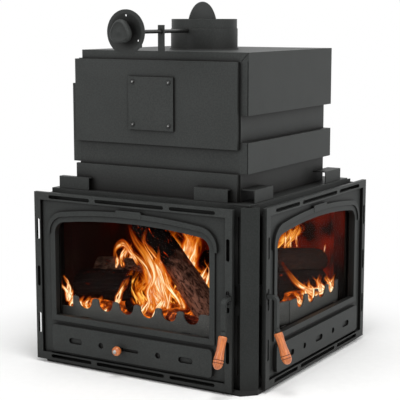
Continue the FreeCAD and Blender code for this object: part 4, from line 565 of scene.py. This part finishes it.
# The side grip's grain is moved, in metres, so that the two grips differ.
OTHER_TIMBER = [0.07, 0.05, 0.0]
grip, grip_grain = turned(smooth_line(GRIP_KEYS, 150), GRIP_TOP, HANG, 48)
make_piece("front_wooden_grip", grip, "front_latch", TURNED_WOOD, ["front_latch_grip"],
           grip_grain)
make_piece("side_wooden_grip", turn_round(grip), "side_latch", TURNED_WOOD, ["side_latch_grip"],
           grip_grain + OTHER_TIMBER)

# Air slider's ball with a ring groove, and the screw cap in its front

STEM_END = np.array([-70.0, -383.0, 82.0])
OUT = np.array([0.0, -1.0, 0.0])
BALL_KEYS = [
    (0, 0), (0.1, 6.1), (1.3, 8.2), (4.4, 11.3), (8.4, 13.2), (11.8, 13.6), (14.7, 13.3), (15.6, 12.4),
    (16.5, 12.9), (19.4, 11.2), (22.0, 8.6), (23.4, 7.2), (23.6, 6.6), (22.9, 6.2), (22.8, 0),
]
CAP_KEYS = [(22.6, 0), (22.6, 5.9), (24.3, 5.8), (25.7, 4.6), (26.5, 2.4), (26.7, 0)]
ball, ball_grain = turned(smooth_line(BALL_KEYS, 110), STEM_END, OUT, 48)
make_piece("slider_wooden_ball", ball, "air_slider", TURNED_WOOD, ["slider_knob"], ball_grain)
cap, _ = turned(smooth_line(CAP_KEYS, 30), STEM_END, OUT, 32)
make_piece("slider_screw_cap", cap, "air_slider", BARE_STEEL)

# Damper knob: a plain hand knob with a dished face and three lobes, a cosine of three times the angle

KNOB_BACK = np.array([26.0, -474.0, 1004.0])
KNOB_RADIUS, KNOB_STEPS, LOBES, LOBE_DEPTH = 34.2, 96, 3, 0.085
KNOB_KEYS = [
    (0, 0), (0.2, 20), (2, 24), (7, 27), (12, 31.5), (18, 34.0), (25, KNOB_RADIUS), (30, 32.6),
    (33, 29.0), (33.6, 26.6), (32.2, 23.0), (31.4, 14.0), (31.8, 7.0), (32.6, 3.0), (32.8, 0),
]
knob_line = smooth_line(KNOB_KEYS, 96)
dips = LOBE_DEPTH * (1 - np.cos(LOBES * (full_turn(KNOB_STEPS) - np.pi / 2)))
lobes = 1 - dips * (knob_line[:, 1, None] / KNOB_RADIUS)
knob, _ = turned(knob_line, KNOB_BACK, OUT, KNOB_STEPS, lobes)
make_piece("damper_lobed_knob", knob, "damper", CAST_IRON, ["damper_knob"])

# Cover screws: pan heads on their shanks with a hexagon socket, and a bright steel dot in each socket as
# a painted highlight

COVER_MIDDLE, COVER_REACH = (1, -316, 800), (-61, 61)
HEAD_STEPS, SOCKET_KEY = 48, 7
HEAD_KEYS = np.array([
    (-14, 0), (-14, 4.0), (0, 4.0), (0, 5.6), (1.6, 5.6), (2.9, 5.1), (3.7, 4.0), (4.0, 2.8), (3.8, 2.5),
    (1.4, 2.4), (1.2, 0),
])
GLINT_DOT_KEYS = [(1.0, 0), (1.0, 2.2), (2.6, 2.15), (3.3, 1.5), (3.6, 0)]
hexagon = np.cos(np.pi / 6) / np.cos((full_turn(HEAD_STEPS) % (np.pi / 3)) - np.pi / 6)
# Each key is there twice, so that the edges stay sharp.
head_line = np.repeat(HEAD_KEYS, 2, axis=0)
in_socket = (np.arange(len(head_line)) >= 2 * SOCKET_KEY)[:, None]
head, _ = turned(head_line, (0, 0, 0), OUT, HEAD_STEPS, np.where(in_socket, hexagon, 1.0))
# A bright steel dot at each socket's bottom: a painted highlight on the heads.
glint_dot, _ = turned(smooth_line(GLINT_DOT_KEYS, 16), (0, 0, 0), OUT, 24)
cover_corners = np.array([(x, 0, z) for x in COVER_REACH for z in COVER_REACH], float) + COVER_MIDDLE
make_piece("cover_pan_head_screws", head + cover_corners[:, None, None], "insert", BLACK_STEEL,
           ["cover_screws"])
make_piece("cover_screw_painted_glints", glint_dot + cover_corners[:, None, None], "insert", BARE_STEEL)

# Black beads in the seams of the right jackets: painted shade along the seams

SEAMS = [
    ((307.0, -296.8, 778.0), (307.0, -296.8, 924.0)), ((307.0, -296.8, 617.0), (307.0, -296.8, 701.0)),
    ((287.0, -296.8, 925.0), (309.0, -296.8, 947.0)),
]

def seam_bead(start, end):
    """A bead between two points: a circle of radius 1 carried along, falling to 0 at the two ends."""
    start, end = np.array(start), np.array(end)
    share = np.concatenate([[0], np.linspace(0, 1, 24), [1]])
    swell = np.concatenate([[0], np.ones(24), [0]])
    angle = full_turn(12)
    _, side, up = across(end - start)
    ring = np.cos(angle)[:, None] * side + np.sin(angle)[:, None] * up
    return start + (end - start) * share[:, None, None] + swell[:, None, None] * ring

beads = np.stack([seam_bead(*seam) for seam in SEAMS])
make_piece("jacket_seam_painted_shade", beads, "insert", SEAM_SHADE_BLACK)

# Screws in the glass clips, on the doors' backs

CLIP_KEYS = np.array([
    (-1.5, 0), (-1.5, 2.2), (0, 2.2), (0, 4.6), (1.2, 4.6), (2.3, 3.6), (2.8, 2.0), (2.2, 1.8), (2.0, 0),
])
CLIP_X, CLIP_Y, CLIP_Z = (-227, 133), -339, (129, 469)
clip_head, _ = turned(np.repeat(CLIP_KEYS, 2, axis=0), (0, 0, 0), -OUT, 24)
clip_places = np.array([(x, CLIP_Y, z) for x in CLIP_X for z in CLIP_Z], float)
clip_screws = clip_head + clip_places[:, None, None]
make_piece("front_clip_screws", clip_screws, "front_door", BLACK_STEEL)
make_piece("side_clip_screws", turn_round(clip_screws), "side_door", BLACK_STEEL)

# Braided rope seals in the doors' grooves: an oval ring, its size rippled by two crossing cosines

ROPE_MIDDLE = (-42, -338.1, 268)
ROPE_RIGHT, ROPE_TOP, ROPE_CORNER = 292.0, 219.0, 7.0
ROPE_HALF_WIDTH, ROPE_HALF_DEPTH, ROPE_RADIUS = 3.8, 4.7, 4.2
STRANDS, STRAND_TURN, STRAND_RISE = 4, 0.55, 0.05

def rope_path():
    """The middle line of a rope seal: a rectangle with round corners, in even steps of about 3 mm."""
    turn = np.linspace(0, np.pi / 2, 8)
    arc = ROPE_CORNER * np.stack([np.cos(turn), np.sin(turn)], axis=1)
    corner = arc + [ROPE_RIGHT - ROPE_CORNER, ROPE_TOP - ROPE_CORNER]
    loop = np.vstack([corner, corner[::-1] * [-1, 1], -corner, corner[::-1] * [1, -1]])
    loop = np.vstack([loop, loop[:1]])
    run = np.concatenate([[0], np.cumsum(np.linalg.norm(np.diff(loop, axis=0), axis=1))])
    even = np.linspace(0, run[-1], 680, endpoint=False)
    x, z = (np.interp(even, run, loop[:, way]) for way in (0, 1))
    return np.stack([x, np.zeros(len(even)), z], axis=1) + ROPE_MIDDLE, even

rope_line, rope_run = rope_path()
rope_angle, twist = full_turn(24), rope_run[:, None] * STRAND_TURN
braid = 1 + STRAND_RISE * np.cos(STRANDS * rope_angle + twist) * np.cos(STRANDS * rope_angle - twist)
rope_rings = np.stack([ROPE_HALF_WIDTH * np.cos(rope_angle) * braid,
                       ROPE_HALF_DEPTH * np.sin(rope_angle) * braid], axis=-1)
rope = tube(rope_line, rope_rings)[None]
rope_grain = np.stack(np.broadcast_arrays(rope_angle * ROPE_RADIUS * MM, rope_run[:, None] * MM, 0.0),
                      axis=-1)[None]
make_piece("front_braided_rope", rope, "front_door", GLASS_ROPE, ["front_rope_seal"],
           rope_grain, RING)
make_piece("side_braided_rope", turn_round(rope), "side_door", GLASS_ROPE,
           ["side_rope_seal"], rope_grain, RING)

# Weld beads round the flue collar and the water sockets

RIPPLE_MM, RIPPLE_RISE = 4.5, 0.12

def weld(name, centre, axis, radius, width):
    """A ring of weld: a small round section swept round a circle and rippled by a cosine along it."""
    axis, side, up = across(axis)
    ripples = int(radius * 2 * np.pi / RIPPLE_MM)
    round_it, section = full_turn(ripples * 6)[:, None], full_turn(12)[None]
    thick = width * (1 + RIPPLE_RISE * np.cos(ripples * round_it))
    reach, lift = radius + thick * np.cos(section), thick * np.sin(section)
    spoke = np.cos(round_it)[..., None] * side + np.sin(round_it)[..., None] * up
    points = np.asarray(centre) + reach[..., None] * spoke + lift[..., None] * axis
    make_piece(name, points[None], "insert", STOVE_PAINT, closed=RING)

weld("flue_collar_weld", (26, -58, 949.3), (0, 0, 1), 101.0, 2.6)
weld("flow_socket_weld", (202, 258.3, 870), (0, 1, 0), 22.0, 2.2)
weld("return_socket_weld", (-178, 258.3, 600), (0, 1, 0), 22.0, 2.2)
weld("sensor_socket_weld", (12, 258.3, 870), (0, 1, 0), 14.0, 2.0)

# Bail handle on the ash pan's front

BAIL_X, BAIL_Y, BAIL_Z = -3, -319.0, 93.0
BAIL_HALF_WIDTH, BAIL_DEPTH, BAIL_WIRE = 46, 13.5, 3

def bail_handle():
    """A round wire along half a turn: x goes as the root of its cosine, y as the root of its sine.

    At each end the wire closes to a point of its middle line.
    """
    steps, sides, up = 60, 16, np.array([0.0, 0.0, 1.0])
    turn, angle = np.linspace(0, np.pi, steps), full_turn(sides)
    line = np.stack([
        BAIL_X + BAIL_HALF_WIDTH * np.sign(np.cos(turn)) * np.abs(np.cos(turn)) ** 0.5,
        BAIL_Y - BAIL_DEPTH * np.sin(turn) ** 0.5,
        np.full(steps, BAIL_Z),
    ], axis=1)
    ahead = np.gradient(line, axis=0)
    ahead /= np.linalg.norm(ahead, axis=1, keepdims=True)
    side = np.cross(ahead, up)
    wire = (line[:, None] + BAIL_WIRE * np.cos(angle)[None, :, None] * side[:, None]
            + BAIL_WIRE * np.sin(angle)[None, :, None] * up)
    first, last = (np.repeat(end[:, None], sides, axis=1) for end in (line[:1], line[-1:]))
    make_piece("ash_pan_bail", np.concatenate([first, wire, last])[None], "insert", BLACK_STEEL)

bail_handle()

# Firewood, embers and flames behind the glass

def waves(angle, along, count, seed, across_range, along_range):
    """A sum of slanting cosines with seeded lean, size and start, about zero and within about one."""
    dice = np.random.default_rng(seed)
    round_count = dice.integers(*across_range, count)
    along_count = dice.uniform(*along_range, count)
    phase = dice.uniform(0, 2 * np.pi, count)
    size = dice.uniform(0.4, 1.0, count)
    slant = round_count * angle[..., None] + 2 * np.pi * along_count * along[..., None] + phase
    return (np.cos(slant) * size).sum(axis=-1) / size.sum()

def firewood(name, start, end, radius, bow, seed, material):
    """A log on a bowed line: round ends, and a radius with bark ridges and a slow out-of-round."""
    start, end = np.array(start, float), np.array(end, float)
    length = np.linalg.norm(end - start)
    _, side, up = across(end - start)
    share = np.concatenate([[0, 0, 0, 0.004], np.linspace(0.012, 0.988, 92), [0.996, 1, 1, 1]])
    girth = np.concatenate([[0, 0.5, 0.9, 0.98], np.ones(92), [0.98, 0.9, 0.5, 0]])
    angle, along = np.meshgrid(full_turn(96), share)
    ridges = np.abs(waves(angle, along, 9, seed, (7, 24), (-2.0, 2.0))) * 0.55
    lumps = waves(angle, along, 5, seed + 50, (1, 4), (0.2, 1.6)) * 0.11
    reach = radius * girth[:, None] * (0.92 + ridges * 0.35 + lumps)
    share = share[:, None]
    centre = start + (end - start) * share + np.array(bow, float) * np.sin(np.pi * share)
    x, y = reach * np.cos(angle), reach * np.sin(angle)
    points = centre[:, None] + x[..., None] * side + y[..., None] * up
    own = np.stack([x, y, along * length], axis=-1) * MM + np.array([seed * 0.37, seed * 0.21, 0.0])
    make_piece(name, points[None], "insert", material, grain=own[None])

firewood("leaning_log", (170, -244, 172), (-92, -222, 448), 40, (0, 0, 6), 3, BROWN_LOG)
firewood("prop_log", (-190, 120, 176), (-30, -110, 392), 36, (4, 0, 6), 8, BLACK_LOG)
firewood("lower_left_log", (-300, -250, 224), (-86, -262, 246), 46, (0, 0, 4), 14, BLACK_LOG)
firewood("upper_left_log", (-276, -186, 270), (-44, -200, 280), 36, (0, 4, 2), 21, GREY_LOG)
firewood("fallen_brand", (-102, -284, 192), (-44, -140, 198), 22, (0, 0, 3), 23, BLACK_LOG)
firewood("fence_brand", (34, -280, 172), (150, -272, 166), 15, (0, 0, 3), 29, DULL_LOG)
firewood("lower_side_log", (248, -52, 254), (256, 278, 206), 36, (0, 0, 4), 27, BLACK_LOG)
firewood("upper_side_log", (244, -84, 326), (256, 280, 268), 36, (0, 0, 4), 41, DARK_LOG)
firewood("corner_brand", (266, -44, 222), (150, 60, 196), 30, (0, 0, 3), 45, BLACK_LOG)
firewood("back_log", (-120, 196, 226), (190, 160, 232), 48, (0, 0, 6), 33, BLACK_LOG)

BED_LEFT, BED_FRONT, BED_DEPTH, BED_FOOT = -300, -298, 578, 138
# Plan of the fence's slanted corner, behind which the embers lie: its start and its end.
CORNER_START, CORNER_END = (192, -304), (294, -26)

def bed_edge(y):
    """X of the ember bed's right edge, along the fence's slanted corner and side run."""
    (x0, y0), (x1, y1) = CORNER_START, CORNER_END
    return np.where(y < y1, x0 + (y - y0) / (y1 - y0) * (x1 - x0), x1)

def ember_bed():
    """Embers heaped behind the fence: a height of cosine lumps that falls to the hearth's edges."""
    u, v = np.meshgrid(np.linspace(0, 1, 220), np.linspace(0, 1, 220))
    y = BED_FRONT + v * BED_DEPTH
    x = BED_LEFT + u * (bed_edge(y) - BED_LEFT)
    coarse = waves(x / 34, y / 560, 14, 61, (1, 7), (2.0, 9.0))
    fine = waves(x / 11, y / 560, 18, 62, (1, 7), (8.0, 30.0))
    rim = np.clip(np.minimum(np.minimum(u, 1 - u), np.minimum(v, 1 - v)) * 14, 0, 1)
    z = BED_FOOT + rim * (30 + 14 * coarse + 9 * np.abs(fine))
    make_piece("ember_bed", np.stack([x, y, z], axis=-1)[None], "insert", HOT_EMBERS, closed=SHEET)

def ember_lumps():
    """Loose pieces of charcoal: spheres squeezed and dented by cosines, laid on the bed."""
    dice = np.random.default_rng(77)
    count, left, margin = 84, -288, 16
    y = dice.uniform(-284, 262, count)
    x = left + dice.uniform(0, 1, count) * (bed_edge(y) - margin - left)
    places = np.stack([x, y, dice.uniform(166, 178, count)], axis=-1)
    turn, tilt = np.meshgrid(full_turn(14), np.linspace(0, np.pi, 10))
    ball = np.stack([np.sin(tilt) * np.cos(turn), np.sin(tilt) * np.sin(turn), np.cos(tilt)], axis=-1)
    phase = dice.uniform(0, 6.28, (count, 1, 1))
    dents = 1 + 0.16 * np.cos(3 * turn + phase) * np.sin(tilt) ** 2 + 0.12 * np.cos(5 * tilt + phase)
    size = dice.uniform((12, 12, 9), (27, 22, 17), (count, 3))[:, None, None]
    points = places[:, None, None] + ball * dents[..., None] * size
    make_piece("ember_lumps", points, "insert", HOT_EMBERS)

ember_bed()
ember_lumps()

def licks(name, streams, facing, seed):
    """Flames along drawn lines: sheets whose half width goes as t^0.35 (1 - t)^0.6, swelling by a sine.

    t rises from root to tip. Each stream is its width and the keys of its line. facing is the way the
    sheets look, and they spread along the cross product of the line's direction and facing.
    """
    dice = np.random.default_rng(seed)
    t, s = np.meshgrid(np.linspace(0, 1, 60), np.linspace(-1, 1, 9), indexing="ij")
    sheets, grains = [], []
    for width, keys in streams:
        line = smooth_line(keys, 60)
        out = np.cross(np.gradient(line, axis=0), facing)
        out = out / np.linalg.norm(out, axis=1)[:, None]
        swell = 1 + 0.25 * np.sin(dice.uniform(0, 6) + 9 * t)
        half = width * 1.6 * t**0.35 * (1 - t) ** 0.6 * swell
        bulge = (0.3 * half * (s**2 - 0.4))[..., None] * np.array(facing)
        sheets.append(line[:, None] + (s * half)[..., None] * out[:, None] - bulge)
        grains.append(np.stack([s, t, np.full_like(s, dice.uniform(0, 9))], axis=-1))
    make_piece(name, np.stack(sheets), "insert", TONGUE, grain=np.stack(grains), closed=SHEET)

licks("front_licks", [
    (23, [(-22, -296, 178), (-12, -296, 212), (-21, -296, 244), (-2, -296, 294), (-27, -296, 348),
          (-71, -294, 395), (-97, -292, 442)]),
    (20, [(52, -298, 196), (38, -298, 248), (21, -298, 312), (-6, -297, 351), (-39, -296, 395),
          (-27, -294, 438)]),
    (20, [(100, -300, 204), (90, -300, 231), (46, -299, 276), (27, -299, 322), (0, -298, 366)]),
    (17, [(-134, -304, 190), (-106, -318, 243), (-76, -316, 288)]),
    (14, [(-58, -293, 318), (-82, -293, 350), (-112, -294, 380), (-140, -294, 362), (-150, -294, 312)]),
    (13, [(-112, -295, 306), (-120, -295, 336), (-104, -295, 362), (-84, -295, 386)]),
    (10, [(-140, -295, 302), (-134, -295, 328), (-142, -295, 356)]),
], (0, -1, 0), 241)
licks("side_licks", [
    (17, [(301, 284, 182), (301, 210, 190), (301, 131, 203), (301, 48, 236), (301, -20, 282),
          (301, -84, 338)]),
    (14, [(303, 278, 172), (303, 224, 178), (303, 150, 186), (303, 84, 212), (303, 40, 226)]),
    (10, [(300, -52, 364), (300, -48, 396), (300, -50, 428)]),
    (9, [(300, -10, 360), (300, -14, 392), (300, 2, 424)]),
    (9, [(300, 31, 354), (300, 25, 386), (300, 30, 416)]),
    (6, [(300, 224, 306), (300, 228, 322), (300, 233, 338)]),
], (1, 0, 0), 242)

def flames(facing, name, material, count, low, high, height, width, lean, seed):
    """Tongues of flame: upright sheets whose half width goes as t^0.35 (1 - t)^0.75, from root to tip.

    They sway by two sines, swell and pinch by a third, and are curved across. Their roots are spread at
    random between two corners of a box. facing is the way the sheets run, height and width are ranges,
    and lean is how far x and y move from root to tip.
    """
    dice = np.random.default_rng(seed)
    each = (count, 1, 1)
    roots = dice.uniform(low, high, (count, 3))
    height = dice.uniform(*height, each)
    width = dice.uniform(*width, each)
    facing = facing + dice.uniform(-0.35, 0.35, each)
    phase = dice.uniform(0, 2 * np.pi, each)
    reach = dice.uniform(0.55, 1.15, each)
    t, s = np.meshgrid(np.linspace(0, 1, 34), np.linspace(-1, 1, 9), indexing="ij")
    half = width * 1.75 * t**0.35 * (1 - t) ** 0.75 * (1 + 0.3 * np.sin(3 * phase + 8 * t))
    sway = (0.4 * width + 0.10 * height) * (np.sin(phase + 5.2 * t) - np.sin(phase)) * t
    sway = sway + 0.035 * height * (np.sin(2.3 * phase + 12 * t) - np.sin(2.3 * phase)) * t
    out = s * half + sway
    curve = 0.3 * half * (s**2 - 0.4) + 0.5 * width * np.sin(phase * 2 + 3.1 * t) * t
    x = out * np.cos(facing) - curve * np.sin(facing) + lean[0] * reach * t
    y = out * np.sin(facing) + curve * np.cos(facing) + lean[1] * reach * t
    points = np.stack([x, y, np.broadcast_to(t * height, x.shape)], axis=-1) + roots[:, None, None]
    own = np.stack(np.broadcast_arrays(s, t, dice.uniform(0, 9, each)), axis=-1)
    make_piece(name, points, "insert", material, grain=own, closed=SHEET)

FRONTAL, SIDELONG = math.radians(31), math.radians(78)
FRONT_FLAMES = [
    ("tall_veils", VEIL, 4, (-30, -268, 190), (50, -248, 210), (150, 230), (40, 56), (-80, 0), 201),
    ("tall_flames", TONGUE, 5, (-14, -290, 194), (52, -284, 216), (130, 240), (18, 28), (-100, 8), 221),
    ("middle_flames", TONGUE, 5, (-40, -286, 178), (34, -262, 198), (80, 160), (10, 17), (-30, 0), 207),
    ("middle_veils", VEIL, 5, (-90, -282, 176), (60, -270, 190), (100, 150), (34, 48), (-20, 0), 231),
    ("arched_flames", TONGUE, 3, (-208, -200, 298), (-150, -192, 306), (40, 70), (8, 11), (10, 0), 208),
    ("right_veils", VEIL, 4, (0, -190, 256), (64, -170, 284), (150, 190), (36, 50), (-14, 0), 202),
    ("right_flames", TONGUE, 7, (6, -204, 256), (70, -192, 288), (120, 195), (18, 28), (-20, 0), 222),
    ("bark_flames", TONGUE, 4, (92, -212, 250), (128, -206, 262), (50, 100), (6, 10), (8, 0), 209),
    ("left_flames", TONGUE, 3, (-330, -300, 172), (-306, -295, 180), (60, 105), (8, 12), (-6, 0), 210),
    ("fence_flames", TONGUE, 12, (-316, -301, 152), (-150, -294, 162), (30, 56), (11, 18), (8, 0), 204),
    ("notch_flames", TONGUE, 5, (-132, -300, 158), (-4, -292, 172), (40, 110), (9, 14), (40, 0), 211),
    ("bed_veils", VEIL, 6, (-250, -160, 170), (120, 130, 184), (110, 190), (40, 60), (0, 0), 203),
]
SIDE_FLAMES = [
    ("side_low_flames", TONGUE, 14, (298, 50, 156), (302, 306, 168), (44, 86), (15, 24), (0, -24), 213),
    ("side_back_veils", VEIL, 3, (170, 60, 280), (200, 220, 300), (130, 180), (60, 80), (0, 0), 232),
    ("corner_flames", TONGUE, 6, (204, -230, 160), (270, -60, 172), (28, 66), (9, 15), (0, 0), 206),
]
for row in FRONT_FLAMES:
    flames(FRONTAL, *row)
for row in SIDE_FLAMES:
    flames(SIDELONG, *row)

# Floor, light, background and camera, in metres

FLOOR_HALF, FLOOR_DROP = 14, 0.0005

def looked_at(tree):
    """1 for rays that come from the camera, or from it by way of a mirror or glass, and 0 for light."""
    rays = add(tree, "LightPath").node.outputs
    seen = add(tree, "Math", {0: rays["Is Camera Ray"], 1: rays["Is Glossy Ray"]}, operation="MAXIMUM")
    return add(tree, "Math", {0: seen, 1: rays["Is Transmission Ray"]}, operation="MAXIMUM")

def plain_floor():
    """A pale floor that keeps the shadow near the insert and is lost in the white background beyond."""
    material, tree = new_material("pale_studio_floor")
    place = add(tree, "TexCoord", out="Object")
    reach = add(tree, "VectorMath", {0: place}, operation="LENGTH")
    away = add(tree, "MapRange", {0: reach, 1: 0.45, 2: 0.95}, interpolation_type="SMOOTHSTEP")
    white = add(tree, "Math", {0: looked_at(tree), 1: away}, operation="MULTIPLY")
    grain = add(tree, "TexNoise", {"Vector": place, "Scale": 1 / (25 * MM), "Detail": 3.0})
    tone = add(tree, "Mix", {0: grain, 6: linear("#f6f6f5"), 7: linear("#fdfdfc")}, data_type="RGBA")
    matt = add(tree, "BsdfPrincipled", {"Base Color": tone, "Roughness": 0.9, "Specular IOR Level": 0.1})
    glow = add(tree, "Emission", {"Color": linear("#ffffff"), "Strength": 1.0})
    mixed = add(tree, "MixShader", {0: white, 1: matt, 2: glow})
    add(tree, "OutputMaterial", {0: mixed})
    return material

floor_corners = [
    (x * FLOOR_HALF, y * FLOOR_HALF, -FLOOR_DROP) for x, y in ((-1, -1), (1, -1), (1, 1), (-1, 1))
]
floor_mesh = bpy.data.meshes.new("studio_floor")
floor_mesh.from_pydata(floor_corners, [], [(0, 1, 2, 3)])
floor_mesh.materials.append(plain_floor())
floor = bpy.data.objects.new("studio_floor", floor_mesh)
bpy.context.scene.collection.objects.link(floor)

world = bpy.data.worlds.new("studio")
bpy.context.scene.world = world
world.use_nodes = True
sky = world.node_tree
sky.nodes.clear()
level = add(sky, "MapRange", {0: looked_at(sky), 3: 0.40, 4: 1.0})
back = add(sky, "Background", {"Color": linear("#ffffff"), "Strength": level})
add(sky, "OutputWorld", {0: back})

def soft_box(name, place, aim, size, power):
    """A square soft lamp at a place, turned to face an aim."""
    lamp = bpy.data.lights.new(name, "AREA")
    lamp.shape, lamp.size, lamp.energy = "SQUARE", size, power
    holder = bpy.data.objects.new(name, lamp)
    bpy.context.scene.collection.objects.link(holder)
    ahead = np.asarray(aim, float) - np.asarray(place, float)
    tilt = math.acos(-ahead[2] / np.linalg.norm(ahead))
    holder.location = place
    holder.rotation_euler = (tilt, 0, math.atan2(ahead[0], -ahead[1]) + math.pi)

soft_box("right_key", (3.4, -0.6, 2.4), (0.1, 0, 0.5), 2.6, 69)
soft_box("front_fill", (-1.8, -3.8, 2.2), (0, 0, 0.5), 2.6, 52)
soft_box("top_fill", (0.6, -1.2, 4.0), (0, 0, 0.6), 1.5, 78)

camera = bpy.data.cameras.new("photo_camera")
camera.sensor_width, camera.lens = 36.0, 106.78
camera.clip_end = 60.0
viewer = bpy.data.objects.new("photo_camera", camera)
viewer.location = (1.8614, -3.1394, 1.0498)
viewer.rotation_euler = (math.radians(81.134), 0, math.radians(30.986))
bpy.context.scene.collection.objects.link(viewer)
bpy.context.scene.camera = viewer
bpy.context.scene.view_settings.view_transform = "Standard"
